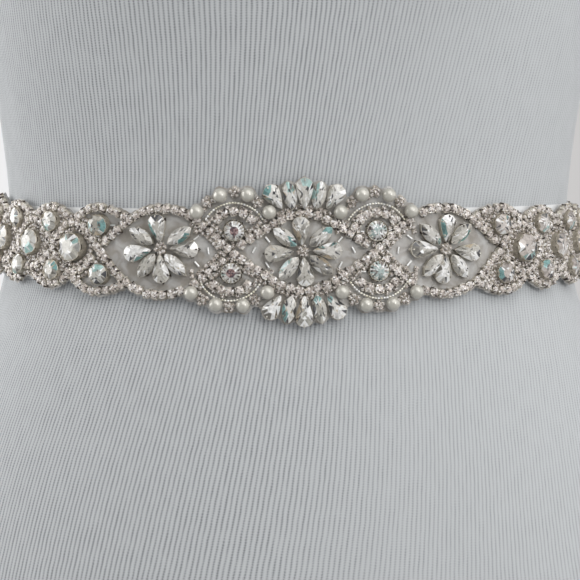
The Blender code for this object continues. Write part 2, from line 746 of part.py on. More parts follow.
def build_stretch(name: str, start: float, end: float, shapes: list[Relief]) -> None:
    """Build one stretch of the applique: a plain inner face, and an outer one raised by its shapes."""
    outline = stretch_outline(start, end)
    low, high = min(start, end), max(start, end)
    near = [
        shape
        for shape in shapes
        if any(low - 2 * MM < s < high + 2 * MM for ring in shape.rings for s, _ in ring)
    ]
    lines = [(ring, shape.closed) for shape in near for ring in shape.rings]
    outer = plane_mesh(outline, lines, fill_points(outline, FILL_STEP_S, FILL_STEP_H), True)
    loop = border_loop(outer)
    inner = plane_mesh(
        [(v.co.x, v.co.y) for v in loop], [], fill_points(outline, INNER_STEP_S, INNER_STEP_H), False
    )

    wall = bmesh.new()
    border: dict[str, dict[tuple[int, int], bmesh.types.BMVert]] = {"outer": {}, "inner": {}}
    for key, flat in (("outer", outer), ("inner", inner)):
        made = {}
        for vert in flat.verts:
            s, h = vert.co.x, vert.co.y
            offset = BACKING_INNER
            if key == "outer":
                on_border = any(edge.is_boundary for edge in vert.link_edges)
                rise = 0.0 if on_border else max((shape.height(s, h) for shape in near), default=0.0)
                offset = BACKING_OUTER + rise
            made[vert] = wall.verts.new(on_form(s, h + sway(s), offset))
            border[key][(round(s * 1e6), round(h * 1e6))] = made[vert]
        for face in flat.faces:
            corners = [made[vert] for vert in face.verts]
            wall.faces.new(corners if key == "outer" else list(reversed(corners)))
    keys = [(round(v.co.x * 1e6), round(v.co.y * 1e6)) for v in loop]
    for here, after in zip(keys, keys[1:] + keys[:1]):
        wall.faces.new(
            (border["outer"][here], border["outer"][after], border["inner"][after], border["inner"][here])
        )
    outer.free()
    inner.free()
    add_object(name, wall, BEADED, sharp_degrees=25.0)


def build_applique() -> None:
    """Build the five stretches of the beaded applique."""
    shapes = weave_bands() + centre_stones() + end_stones(-1) + end_stones(1)
    for word, middle in FLOWER_MIDDLES.items():
        shapes += flower(middle, [(row.cut, getattr(row, word)) for row in PETALS])
    build_stretch("applique_center", -CENTRE_CUT, CENTRE_CUT, shapes)
    for side, word in ((1, "left"), (-1, "right")):
        flower_ends = sorted((side * (CENTRE_CUT + CUT_GAP), side * FLOWER_CUT))
        run_ends = sorted((side * (FLOWER_CUT + CUT_GAP), side * APPLIQUE_END))
        build_stretch(f"applique_flower_{word}", *flower_ends, shapes)
        build_stretch(f"applique_end_{word}", *run_ends, shapes)


# --- Knot and tails ------------------------------------------------------------------------------
def back_surface(x: float, rise: float, offset: float) -> Vector:
    """Return the point on the form's back at x and a height over the waist, moved out from it."""
    width, depth, centre, square = level(rise)
    y = centre + depth * (1 - (abs(x) / width) ** square) ** (1 / square)
    turn = math.pi - math.asin(min(max((abs(x) / width) ** (square / 2), 0.0), 1.0))
    normal = outward(math.copysign(turn, x if x else 1.0), rise)
    return Vector((x, y, WAIST_Z + rise)) + normal * offset


def build_knot() -> None:
    """Build the flat knot over the ribbon at the centre back, with soft upright creases."""
    middle_h = (RIBBON_TOP + RIBBON_BOTTOM) / 2
    seat = RIBBON_OUTER + LAYER_GAP
    knot = bmesh.new()

    def spot(u: float, v: float, outer: bool) -> Vector:
        """Return the point at u, v in -1..1 across and up the knot, on its outer or seat face."""
        pinch = 0.82 + 0.18 * v**2
        x = u * KNOT_WIDTH / 2 * pinch
        rise = middle_h + v * KNOT_HEIGHT / 2
        if not outer:
            return back_surface(x * 0.94, middle_h + v * KNOT_HEIGHT / 2 * 0.94, seat)
        dome = (1 - u**4) ** 0.5 * (1 - abs(v) ** 5) ** 0.4
        crease = KNOT_CREASE_DEPTH * (1 - u**2) * math.cos(math.pi * KNOT_CREASES * u + 0.7 * v)
        lift = KNOT_DEPTH * dome - crease * dome
        return back_surface(x, rise, seat + max(lift, 0.0) + 0.35 * MM)

    grids = {}
    for outer in (True, False):
        grids[outer] = [
            [
                knot.verts.new(spot(2 * i / KNOT_COLUMNS - 1, 2 * j / KNOT_ROWS - 1, outer))
                for i in range(KNOT_COLUMNS + 1)
            ]
            for j in range(KNOT_ROWS + 1)
        ]
    for outer, grid in grids.items():
        for j in range(KNOT_ROWS):
            for i in range(KNOT_COLUMNS):
                corners = (grid[j][i], grid[j][i + 1], grid[j + 1][i + 1], grid[j + 1][i])
                knot.faces.new(corners if outer else tuple(reversed(corners)))
    rim = [(0, i) for i in range(KNOT_COLUMNS)] + [(j, KNOT_COLUMNS) for j in range(KNOT_ROWS)]
    rim += [(KNOT_ROWS, i) for i in range(KNOT_COLUMNS, 0, -1)] + [(j, 0) for j in range(KNOT_ROWS, 0, -1)]
    for (j1, i1), (j2, i2) in zip(rim, rim[1:] + rim[:1]):
        knot.faces.new((grids[True][j1][i1], grids[False][j1][i1], grids[False][j2][i2], grids[True][j2][i2]))
    add_object("back_knot", knot, SATIN)


def smooth_step(value: float) -> float:
    """Return the usual soft step from 0 to 1."""
    value = min(max(value, 0.0), 1.0)
    return value * value * (3 - 2 * value)


def tail_point(side: int, down: float, across: float, outer: bool) -> Vector:
    """Return a point of a tail: down 0..1 along it, across -1..1 from its inner to its outer edge."""
    opened = smooth_step(down * TAIL_LENGTH / TAIL_OPENS_OVER)
    width = TAIL_THROAT + (TAIL_WIDTH - TAIL_THROAT) * opened
    length = TAIL_LENGTH + TAIL_SLANT * across / 2
    centre = TAIL_THROAT_X + (TAIL_END_X - TAIL_THROAT_X) * down**0.8
    x = side * (centre + across * width / 2)
    rise = TAIL_TOP - down * length
    gathers = TAIL_WAVE * (1 - 0.75 * opened) * (1 + math.cos(2 * math.pi * across)) / 2
    swing = TAIL_SWING * (1 + math.sin(2 * math.pi * (1.6 * down + 0.15 * across) + side)) / 2 * opened
    offset = TAIL_LIFT + gathers + swing + (TAIL_WALL if outer else 0.0)
    return back_surface(x, rise, offset)


def build_tail(side: int, word: str) -> None:
    """Build one hanging end of the ribbon as a closed wall with a slanting cut end."""
    tail = bmesh.new()
    columns = [2 * k / TAIL_COLUMNS - 1 for k in range(TAIL_COLUMNS + 1)]
    section = [(across, True) for across in columns] + [(across, False) for across in reversed(columns)]
    rows = [
        [tail.verts.new(tail_point(side, j / TAIL_ROWS, across, outer)) for across, outer in section]
        for j in range(TAIL_ROWS + 1)
    ]
    for here, after in zip(rows, rows[1:]):
        for i in range(len(section)):
            j = (i + 1) % len(section)
            tail.faces.new((here[i], here[j], after[j], after[i]))
    for row in (rows[0], rows[-1]):
        for k in range(TAIL_COLUMNS):
            tail.faces.new((row[k], row[k + 1], row[-2 - k], row[-1 - k]))
    add_object(f"tail_{word}", tail, SATIN)


def main() -> None:
    """Clear the scene and build every piece."""
    for old in list(bpy.data.objects):
        bpy.data.objects.remove(old)
    build_form()
    build_ribbon_band()
    build_applique()
    build_knot()
    for side, word in ((1, "left"), (-1, "right")):
        build_tail(side, word)


main()
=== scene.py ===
"""Bridal sash on its dress form, dressed for rendering.

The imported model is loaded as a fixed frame. Over it go the form's ribbed jersey cover, the satin ribbon, the
organza that the beading is sewn to, and the crystals, rhinestones, pearls and beads themselves.

Metres, +Z up, the form's front faces -Y. Places on the sash are given as (s, h): s runs round the sash from
the centre front towards +X, and h is the height over the sash's middle line.
"""

from __future__ import annotations

import logging
import math
from dataclasses import dataclass, field, replace
from enum import Enum
from typing import Callable, Iterable, Sequence

import bmesh
import bpy
import numpy as np
from mathutils import Matrix, Vector


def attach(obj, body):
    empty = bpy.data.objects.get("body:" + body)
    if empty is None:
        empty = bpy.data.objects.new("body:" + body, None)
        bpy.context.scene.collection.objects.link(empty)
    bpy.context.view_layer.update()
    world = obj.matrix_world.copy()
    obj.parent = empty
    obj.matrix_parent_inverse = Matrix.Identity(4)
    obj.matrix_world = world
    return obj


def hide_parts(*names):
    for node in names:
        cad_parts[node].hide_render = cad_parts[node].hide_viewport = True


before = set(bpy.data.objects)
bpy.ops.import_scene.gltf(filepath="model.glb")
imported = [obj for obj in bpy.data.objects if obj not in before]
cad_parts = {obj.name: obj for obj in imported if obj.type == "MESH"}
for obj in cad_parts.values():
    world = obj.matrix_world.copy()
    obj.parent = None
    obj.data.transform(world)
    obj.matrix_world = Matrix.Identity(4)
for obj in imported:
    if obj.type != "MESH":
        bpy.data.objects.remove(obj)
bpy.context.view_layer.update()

MM = 0.001
BODY = "root"
CLOTH_UV = "cloth"
FACET_LAYER = "facet"
# facet colours: the beads' own tints, and the stones' and settings' painted reflections, glints and shade
TINT_AND_PAINTED_LIGHT = "tint"
SEED = 20417
BED_SHARE = 0.92  # of a stone's half width that its ground is reckoned at
MARQUISE_POINT = 1.45  # the higher, the sharper a marquise's two points
PEAR_TAPER, PEAR_FULLNESS = 0.38, 1.41

log = logging.getLogger("bridal_sash")

Array = np.ndarray
Rng = np.random.Generator
Colour = tuple[float, float, float]
BMesh = bmesh.types.BMesh
Mesh, Piece, Material = bpy.types.Mesh, bpy.types.Object, bpy.types.Material
Tree, Socket = bpy.types.NodeTree, bpy.types.NodeSocket


class Slot(str, Enum):
    """Material slots of the record."""

    JERSEY = "jersey"
    CAP = "cap"
    SATIN = "satin"
    BEADED = "beaded_trim"


class Stretch(str, Enum):
    """The five stretches that the beaded trim is made in."""

    CENTER = "center"
    FLOWER_LEFT = "flower_left"
    FLOWER_RIGHT = "flower_right"
    END_LEFT = "end_left"
    END_RIGHT = "end_right"


class Cut(Enum):
    """Outline of a crystal. A pear's and a marquise's long axis lies along its own X."""

    ROUND = "round"
    PEAR = "pear"
    MARQUISE = "marquise"

    def breadth(self, angle: float) -> float:
        """Return the half width of the outline, for a half length and half width of 1.

        Args:
            angle: The angle round it, from the long axis.

        Returns:
            The half width there.
        """
        across = math.sin(angle)
        if self is Cut.ROUND:
            return across
        if self is Cut.MARQUISE:
            return math.copysign(abs(across) ** MARQUISE_POINT, across)
        return across * (1 - PEAR_TAPER + PEAR_TAPER * math.cos(angle)) * PEAR_FULLNESS


# --- The form's surface ---
@dataclass(frozen=True)
class FormShape:
    """Named sizes of the dress form, in millimetres.

    A ring is its rise, half width, half depth, centre and squareness.
    """

    waist_z: float = 260.0
    bust_z: float = 165.0
    bust_x: float = 66.0
    bust_rise: float = 14.0
    bust_spread_x: float = 48.0
    bust_spread_z: float = 50.0
    pattern_offset: float = 5.0  # lengths along the sash are measured this far out from the form
    samples: int = 1441  # places that the way round to the back is measured at
    rings: tuple[tuple[float, float, float, float, float], ...] = (
        (-260, 166.0, 108.0, 4.0, 2.25),
        (-205, 174.0, 116.5, 6.0, 2.25),
        (-150, 169.5, 113.5, 5.5, 2.25),
        (-100, 158.5, 106.0, 3.5, 2.30),
        (-60, 146.5, 98.5, 1.5, 2.30),
        (-34, 137.6, 93.8, 0.5, 2.30),
        (-17, 132.2, 92.0, 0.0, 2.30),
        (8, 128.6, 91.2, 0.0, 2.30),
        (22, 129.1, 91.5, 0.0, 2.30),
        (41, 130.9, 92.6, -0.3, 2.30),
        (71, 135.0, 95.5, -1.0, 2.30),
        (110, 141.5, 100.0, -1.5, 2.25),
        (165, 150.0, 106.0, -1.0, 2.20),
        (220, 153.5, 101.5, 2.0, 2.20),
        (265, 158.0, 91.0, 5.5, 2.20),
        (300, 161.0, 80.0, 8.0, 2.20),
        (324, 155.0, 71.5, 9.5, 2.20),
        (344, 136.0, 65.0, 10.0, 2.15),
        (362, 108.0, 60.5, 9.5, 2.10),
        (380, 80.0, 57.5, 8.5, 2.05),
        (400, 62.0, 55.5, 6.5, 2.00),
        (422, 55.5, 54.0, 4.5, 2.00),
        (460, 54.0, 53.0, 1.0, 2.00),
    )


class FormSurface:
    """The form's outer surface, and the sash's coordinates on it, in arrays and metres."""

    def __init__(self, shape: FormShape) -> None:
        """Tabulate the rings and the arc length round the waist.

        Args:
            shape: The form's sizes.
        """
        self.shape = shape
        table = np.array(shape.rings, dtype=float)
        self.rises = table[:, 0] * MM
        self.columns = [table[:, 1] * MM, table[:, 2] * MM, table[:, 3] * MM, table[:, 4]]
        turns = np.linspace(0.0, math.pi, shape.samples)
        line = self.point(turns, 0.0) + self.outward(turns, 0.0) * shape.pattern_offset * MM
        steps = np.linalg.norm(np.diff(line, axis=0), axis=1)
        self.turns, self.lengths = turns, np.concatenate([[0.0], np.cumsum(steps)])
        self.half_round = float(self.lengths[-1])

    def _smooth(self, values: Array, rise: Array) -> Array:
        """Run a smooth curve through the values of the rings.

        Args:
            values: One value for each ring.
            rise: Heights over the waist.

        Returns:
            The values at those heights.
        """
        xs = self.rises
        last = len(xs) - 1
        k = np.clip(np.searchsorted(xs, rise) - 1, 0, last - 1)

        def slope(i: Array) -> Array:
            """Return the finite-difference slope at ring i."""
            low, high = np.maximum(i - 1, 0), np.minimum(i + 1, last)
            return (values[high] - values[low]) / (xs[high] - xs[low])

        span = xs[k + 1] - xs[k]
        u = np.clip((rise - xs[k]) / span, 0.0, 1.0)
        start, end = slope(k) * span, slope(k + 1) * span
        return (
            (2 * u**3 - 3 * u**2 + 1) * values[k]
            + (u**3 - 2 * u**2 + u) * start
            + (3 * u**2 - 2 * u**3) * values[k + 1]
            + (u**3 - u**2) * end
        )

    def level(self, rise: Array) -> list[Array]:
        """Return half width, half depth, centre and squareness at each height over the waist."""
        return [self._smooth(column, np.asarray(rise, dtype=float)) for column in self.columns]

    def bust(self, x: Array, rise: Array) -> Array:
        """Work out how far the bust stands forward.

        Args:
            x: Places across the front.
            rise: Heights over the waist.

        Returns:
            The distances.
        """
        shape = self.shape
        tall = np.exp(-(((rise - shape.bust_z * MM) / (shape.bust_spread_z * MM)) ** 2))
        wide = sum(
            np.exp(-(((x - side * shape.bust_x * MM) / (shape.bust_spread_x * MM)) ** 2)) for side in (-1, 1)
        )
        return shape.bust_rise * MM * tall * wide

    def point(self, turn: Array, rise: Array) -> Array:
        """Find places on the surface.

        Args:
            turn: Turns from the centre front.
            rise: Heights over the waist.

        Returns:
            Points, of shape (..., 3).
        """
        turn, rise = np.broadcast_arrays(np.asarray(turn, dtype=float), np.asarray(rise, dtype=float))
        width, depth, centre, square = self.level(rise)
        sine, cosine = np.sin(turn), np.cos(turn)
        x = width * np.sign(sine) * np.abs(sine) ** (2 / square)
        y = centre - depth * np.sign(cosine) * np.abs(cosine) ** (2 / square)
        y = y - np.where(cosine > 0, self.bust(x, rise) * cosine**2, 0.0)
        return np.stack([x, y, self.shape.waist_z * MM + rise], axis=-1)

    def outward(self, turn: Array, rise: Array) -> Array:
        """Find which way is out.

        Args:
            turn: Turns from the centre front.
            rise: Heights over the waist.

        Returns:
            Unit vectors, of shape (..., 3).
        """
        turn, rise = np.broadcast_arrays(np.asarray(turn, dtype=float), np.asarray(rise, dtype=float))
        aside, higher = 0.004, 1 * MM
        across = self.point(turn + aside, rise) - self.point(turn - aside, rise)
        up = self.point(turn, rise + higher) - self.point(turn, rise - higher)
        normal = np.cross(across, up)
        return normal / np.linalg.norm(normal, axis=-1, keepdims=True)

    def turn_at(self, s: Array) -> Array:
        """Return the turn at each arc length round the sash."""
        s = np.asarray(s, dtype=float)
        return np.copysign(np.interp(np.abs(s), self.lengths, self.turns), s)

    def place(self, s: Array, h: Array, offset: Array) -> Array:
        """Return the points at sash coordinates (s, h), moved out from the form."""
        turn = self.turn_at(s)
        return self.point(turn, h) + self.outward(turn, h) * np.asarray(offset, dtype=float)[..., None]

    def seat(self, s: float, h: float, offset: float) -> Matrix:
        """Work out how a piece is set down: its X runs round the sash, its Z points out.

        Args:
            s: Way round the sash.
            h: Height over its middle line.
            offset: Distance out from the form.

        Returns:
            The matrix.
        """
        step = 0.2 * MM
        spot = Vector(self.place(s, h, offset))
        out = Vector(self.outward(self.turn_at(s), h))
        along = Vector(self.place(s + step, h, offset)) - Vector(self.place(s - step, h, offset))
        along = (along - out * along.dot(out)).normalized()
        up = out.cross(along)
        turned = Matrix((along, up, out)).transposed().to_4x4()
        return Matrix.Translation(spot) @ turned

    def back(self, x: Array, rise: Array, offset: Array) -> Array:
        """Find places over the form's back.

        Args:
            x: Places across the back.
            rise: Heights over the waist.
            offset: Distances out from the form.

        Returns:
            Points, of shape (..., 3).
        """
        width, depth, centre, square = self.level(rise)
        share = np.clip(np.abs(x) / width, 0.0, 1.0)
        y = centre + depth * (1 - share**square) ** (1 / square)
        turn = np.copysign(
            math.pi - np.arcsin(np.clip(share ** (square / 2), 0.0, 1.0)), np.where(x == 0, 1.0, x)
        )
        spot = np.stack([x, y, self.shape.waist_z * MM + rise], axis=-1)
        return spot + self.outward(turn, rise) * np.asarray(offset, dtype=float)[..., None]


# --- Shader graphs ---
class Graph:
    """A node tree under construction, with short ways to add nodes."""

    def __init__(self, tree: Tree) -> None:
        """Start on a tree that nodes are added to."""
        self.tree = tree

    def node(self, kind: str, **inputs: object) -> bpy.types.Node:
        """Add a node and feed its inputs, with _ for the blanks in their names.

        Args:
            kind: Its type.
            inputs: Sockets, numbers or colours, by the inputs' names.

        Returns:
            The node.
        """
        made = self.tree.nodes.new(kind)
        for name, value in inputs.items():
            self.feed(value, made.inputs[name.replace("_", " ")])
        return made

    def feed(self, value: object, socket: Socket) -> None:
        """Link a socket to an input, or set the input to a number or a colour."""
        if isinstance(value, Socket):
            self.tree.links.new(value, socket)
        else:
            socket.default_value = value

    def math(self, kind: str, *values: object) -> Socket:
        """Add a Math node.

        Args:
            kind: The operation.
            values: Its inputs, sockets or numbers.

        Returns:
            Its result.
        """
        made = self.tree.nodes.new("ShaderNodeMath")
        made.operation = kind
        for socket, value in zip(made.inputs, values):
            self.feed(value, socket)
        return made.outputs[0]

    def mix(self, factor: object, first: object, second: object, blend: str = "MIX") -> Socket:
        """Mix two colours.

        Args:
            factor: Share of the second.
            first: A socket or a colour.
            second: A socket or a colour.
            blend: How they are blended.

        Returns:
            The result.
        """
        made = self.tree.nodes.new("ShaderNodeMix")
        made.data_type, made.blend_type = "RGBA", blend
        for index, value in ((0, factor), (6, first), (7, second)):
            self.feed((*value, 1.0) if isinstance(value, tuple) else value, made.inputs[index])
        return made.outputs[2]

    def span(self, value: object, low: float, high: float, start: float = 0.0, end: float = 1.0) -> Socket:
        """Map a value from start..end to low..high.

        Args:
            value: The value.
            low: What start becomes.
            high: What end becomes.
            start: Where the value's span starts.
            end: Where it ends.

        Returns:
            The mapped value.
        """
        made = self.tree.nodes.new("ShaderNodeMapRange")
        for name, number in (("From Min", start), ("From Max", end), ("To Min", low), ("To Max", high)):
            made.inputs[name].default_value = number
        self.feed(value, made.inputs["Value"])
        return made.outputs["Result"]


class Shades:
    """Shader node groups that several finishes share, each built once."""

    def __init__(self) -> None:
        """Build the groups."""
        self.threads = self._threads()
        self.drift = self._drift()

    @staticmethod
    def _start(name: str, result: str, **numbers: float) -> tuple[Graph, bpy.types.Node, Socket]:
        """Start a group that takes a vector and some numbers, and gives one number.

        Args:
            name: Name of the group.
            result: Name of its output.
            numbers: The numbers' names and usual values.

        Returns:
            The graph, the node that holds the inputs, and the output's socket.
        """
        tree = bpy.data.node_groups.new(name, "ShaderNodeTree")
        tree.interface.new_socket(name="Vector", in_out="INPUT", socket_type="NodeSocketVector")
        for title, value in numbers.items():
            made = tree.interface.new_socket(name=title, in_out="INPUT", socket_type="NodeSocketFloat")
            made.default_value = value
        tree.interface.new_socket(name=result, in_out="OUTPUT", socket_type="NodeSocketFloat")
        return Graph(tree), tree.nodes.new("NodeGroupInput"), tree.nodes.new("NodeGroupOutput").inputs[0]

    def _threads(self) -> Tree:
        """Return a group that gives crossing threads: Across and Along count them per unit of the vector."""
        graph, given, result = self._start("crossing_threads", "Mask", Across=100.0, Along=100.0)
        split = graph.node("ShaderNodeSeparateXYZ", Vector=given.outputs["Vector"])
        waves = []
        for axis, count in (("X", "Across"), ("Y", "Along")):
            turns = graph.math("MULTIPLY", split.outputs[axis], given.outputs[count])
            turns = graph.math("MULTIPLY", turns, math.pi)
            waves.append(graph.math("ABSOLUTE", graph.math("SINE", turns)))
        graph.feed(graph.math("MAXIMUM", *waves), result)
        return graph.tree

    def _drift(self) -> Tree:
        """Return a group that gives a slow, soft change over a surface, from 1 - Amount to 1."""
        graph, given, result = self._start("soft_drift", "Factor", Scale=12.0, Amount=0.1)
        vector, scale = given.outputs["Vector"], given.outputs["Scale"]
        noise = graph.node("ShaderNodeTexNoise", Vector=vector, Scale=scale, Detail=3.0)
        loss = graph.math("MULTIPLY", noise.outputs[0], given.outputs["Amount"])
        graph.feed(graph.math("SUBTRACT", 1.0, loss), result)
        return graph.tree


SHADES = Shades()


class Bench(Graph):
    """A material under construction."""

    def __init__(self, name: str) -> None:
        """Start a material with a plain Principled shader.

        Args:
            name: Name of the material.
        """
        self.material = bpy.data.materials.new(name)
        self.material.use_nodes = True
        super().__init__(self.material.node_tree)
        self.shader = self.tree.nodes["Principled BSDF"]

    def set(self, **values: float | tuple[float, ...]) -> None:
        """Set the shader's own sockets, with _ for the blanks in their names."""
        for name, value in values.items():
            self.shader.inputs[name.replace("_", " ")].default_value = value

    def to_shader(self, value: Socket, name: str) -> None:
        """Link a socket to one of the shader's inputs."""
        self.tree.links.new(value, self.shader.inputs[name])

    def uv(self) -> Socket:
        """Return the cloth's own UV map."""
        made = self.tree.nodes.new("ShaderNodeUVMap")
        made.uv_map = CLOTH_UV
        return made.outputs[0]

    def place(self) -> Socket:
        """Return Object coordinates."""
        return self.tree.nodes.new("ShaderNodeTexCoord").outputs["Object"]

    def group(self, tree: Tree, **inputs: object) -> Socket:
        """Add a shader group and return its one output."""
        made = self.tree.nodes.new("ShaderNodeGroup")
        made.node_tree = tree
        for name, value in inputs.items():
            self.feed(value, made.inputs[name])
        return made.outputs[0]

    def bump(self, height: Socket, distance: float, strength: float = 1.0) -> None:
        """Bend the shader's normal by a height, in metres."""
        made = self.node("ShaderNodeBump", Height=height, Distance=distance, Strength=strength)
        self.to_shader(made.outputs[0], "Normal")


# --- Finishes ---
@dataclass(frozen=True)
class JerseyFinish:
    """Fine ribbed knit: pale upright ribs, with painted shade in the darker grooves between them and in the
    stitch holes.
    """

    ribs: int
    rib: Colour = (0.454, 0.468, 0.476)
    # painted shade: the colour that the grooves between the ribs darken to
    groove_shade: Colour = (0.190, 0.198, 0.207)
    course: float = 1.05 * MM  # height of one knitted stitch
    yarn_steps: float = 130.0  # changes in the yarn's thickness in a metre up a rib
    waver: float = 1.1  # how far a rib strays aside, in radians of its own wave
    plumpness: float = 0.38  # the lower, the broader a rib's pale top
    darkest_grooves_at: float = 0.275  # painted side light: share of the way round where the grooves' painted shade and relief are deepest
    groove_shade_fade: tuple[float, float] = (-0.24, 0.2)  # cosines of the turn from there between which that painted shade and relief fade
    far_grooves_share: float = 0.56  # how much of the grooves' painted shade and relief stays on the far side
    stitch_relief: float = 0.012  # of a rib's own relief
    relief: float = 0.18 * MM

    def build(self) -> Material:
        """Return the material. The cloth UV is 0..1 round the form and metres up it."""
        bench = Bench("ribbed_jersey")
        bench.set(Roughness=0.85, Sheen_Weight=0.25, Sheen_Roughness=0.5, Specular_IOR_Level=0.2)
        split = bench.node("ShaderNodeSeparateXYZ", Vector=bench.uv())
        lanes = bench.node("ShaderNodeMapping", Vector=bench.uv(), Scale=(self.ribs, self.yarn_steps, 1.0))
        uneven = bench.node("ShaderNodeTexNoise", Vector=lanes.outputs[0], Scale=0.8).outputs[0]
        stray = bench.node("ShaderNodeTexNoise", Vector=bench.place(), Scale=110.0).outputs[0]
        waver = bench.span(stray, -self.waver, self.waver)
        turns = bench.math("MULTIPLY_ADD", split.outputs["X"], 2 * math.pi * self.ribs, waver)
        crest = bench.span(bench.math("COSINE", turns), 0.0, 1.0, start=-1.0)
        wide = bench.math("POWER", crest, self.plumpness)
        climb = bench.math("MULTIPLY", split.outputs["Y"], 2 * math.pi / self.course)
        stitches = bench.math("SINE", bench.math("MULTIPLY_ADD", uneven, 14.0, climb))
        # painted shade between the stitch loops up each rib
        loops = bench.span(stitches, 0.97, 1.0, start=-1.0)
        # painted side light: the grooves' painted shade, and their relief, are deepest on one side of the form
        # and fade away from it
        side = bench.math("MULTIPLY_ADD", split.outputs["X"], 2 * math.pi, -self.darkest_grooves_at * 2 * math.pi)
        stretch = bench.span(bench.math("COSINE", side), self.far_grooves_share, 1.0, *self.groove_shade_fade)
        # painted shade in the stitch holes of the grooves
        holes = bench.span(stitches, 1.3, 0.62, start=-1.0)
        stitch_hole_shade = bench.math("MULTIPLY", holes, bench.span(uneven, 0.7, 1.3, start=0.3, end=0.7))
        # how far the painted groove shade darkens each place
        groove_shade_share = bench.math(
            "MULTIPLY", bench.math("SUBTRACT", 1.0, wide), bench.math("MULTIPLY", stretch, stitch_hole_shade)
        )
        drift = bench.group(SHADES.drift, Vector=bench.place(), Scale=9.0, Amount=0.05)
        shade = bench.math("MULTIPLY", loops, drift)
        grey = bench.node("ShaderNodeCombineColor", Red=shade, Green=shade, Blue=shade).outputs[0]
        bench.to_shader(
            bench.mix(1.0, bench.mix(groove_shade_share, self.rib, self.groove_shade), grey, "MULTIPLY"), "Base Color"
        )
        ridge = bench.math("MULTIPLY", wide, stretch)
        stitch = bench.math("MULTIPLY", stitches, self.stitch_relief)
        bench.bump(bench.math("ADD", ridge, stitch), self.relief, strength=0.6)
        return bench.material


@dataclass(frozen=True)
class CapFinish:
    """Matt lacquer on the cap that closes the neck."""

    colour: Colour = (0.60, 0.61, 0.63)
    dull: Colour = (0.45, 0.46, 0.48)

    def build(self) -> Material:
        """Return the material."""
        bench = Bench("neck_cap_lacquer")
        bench.set(Roughness=0.42, Coat_Weight=0.2, Coat_Roughness=0.3)
        drift = bench.group(SHADES.drift, Vector=bench.place(), Scale=60.0, Amount=0.12)
        bench.to_shader(bench.mix(drift, self.dull, self.colour), "Base Color")
        grain = bench.node("ShaderNodeTexNoise", Vector=bench.place(), Scale=420.0)
        bench.to_shader(bench.span(grain.outputs[0], 0.34, 0.52), "Roughness")
        bench.bump(grain.outputs[0], 0.05 * MM)
        return bench.material


@dataclass(frozen=True)
class SatinFinish:
    """White ribbon satin: long floating threads, with a soft streaked gloss, and painted sheen and painted
    shade streaked through its colour.
    """

    colour: Colour = (0.69, 0.69, 0.685)
    # painted shade: the grey that the white satin falls to between its painted sheen streaks
    shade: Colour = (0.56, 0.57, 0.585)

    def build(self) -> Material:
        """Return the material. The cloth UV is in metres."""
        bench = Bench("ribbon_satin")
        bench.set(Roughness=0.34, Sheen_Weight=0.2, Sheen_Roughness=0.3, Anisotropic=0.5)
        stretched = bench.node("ShaderNodeMapping", Vector=bench.uv(), Scale=(60.0, 1400.0, 1.0))
        floats = bench.node("ShaderNodeTexNoise", Vector=stretched.outputs[0], Scale=1.0)
        weave = bench.group(SHADES.threads, Vector=bench.uv(), Across=900.0, Along=2600.0)
        # painted sheen and painted shade: soft patches and long streaks that lighten and darken the colour
        drift = bench.group(SHADES.drift, Vector=bench.place(), Scale=40.0, Amount=0.3)
        painted_sheen_streaks = bench.math("MULTIPLY", bench.span(floats.outputs[0], 0.75, 1.0, start=0.3, end=0.7), drift)
        bench.to_shader(bench.mix(painted_sheen_streaks, self.shade, self.colour), "Base Color")
        bench.to_shader(bench.span(floats.outputs[0], 0.26, 0.44), "Roughness")
        bench.bump(bench.math("ADD", floats.outputs[0], bench.math("MULTIPLY", weave, 0.3)), 0.05 * MM)
        return bench.material


@dataclass(frozen=True)
class OrganzaFinish:
    """Crisp sheer organza: a fine open weave with a silky, slightly rumpled gloss, and painted sheen in its
    colour.
    """

    # partly the organza's own tint, partly painted shade: darkened and olive, as it looks in the shade between
    # the beads
    colour: Colour = (0.345, 0.318, 0.282)
    # painted sheen: the paler colour where its rumples catch the light
    light: Colour = (0.565, 0.555, 0.54)
    cover: tuple[float, float] = (0.52, 0.76)  # how much it hides, between its threads and at them

    def build(self) -> Material:
        """Return the material. The cloth UV is in metres."""
        bench = Bench("sheer_organza")
        bench.set(Roughness=0.3, Sheen_Weight=0.3, Sheen_Roughness=0.25, Anisotropic=0.4)
        weave = bench.group(SHADES.threads, Vector=bench.uv(), Across=2100.0, Along=2100.0)
        rumple = bench.node("ShaderNodeTexNoise", Vector=bench.place(), Scale=170.0, Distortion=0.6)
        # painted sheen where the rumples catch the light
        painted_sheen = bench.span(rumple.outputs[0], 0.0, 1.0, start=0.35, end=0.68)
        bench.to_shader(bench.mix(painted_sheen, self.colour, self.light), "Base Color")
        bench.to_shader(bench.span(weave, *self.cover), "Alpha")
        bench.bump(bench.math("ADD", rumple.outputs[0], bench.math("MULTIPLY", weave, 0.05)), 0.9 * MM)
        return bench.material


@dataclass(frozen=True)
class FacetFinish:
    """Cut glass over foil, mirroring the room in each facet's own direction; the facets' colours are painted
    reflections, glints and shade on the stones, and plain tints on the beads.
    """

    name: str
    metallic: float
    roughness: float
    coat: float
    scuffed: float = 2.2  # how many times rougher its dullest places are

    def build(self) -> Material:
        """Return the material."""
        bench = Bench(self.name)
        bench.set(Metallic=self.metallic, Coat_Weight=self.coat, Coat_Roughness=0.02, Specular_IOR_Level=0.7)
        tint = bench.node("ShaderNodeAttribute")
        tint.attribute_name = TINT_AND_PAINTED_LIGHT
        drift = bench.group(SHADES.drift, Vector=bench.place(), Scale=900.0, Amount=0.35)
        shade = bench.node("ShaderNodeCombineColor", Red=drift, Green=drift, Blue=drift)
        bench.to_shader(bench.mix(1.0, tint.outputs["Color"], shade.outputs[0], "MULTIPLY"), "Base Color")
        bench.to_shader(bench.span(drift, self.roughness, self.roughness * self.scuffed), "Roughness")
        return bench.material


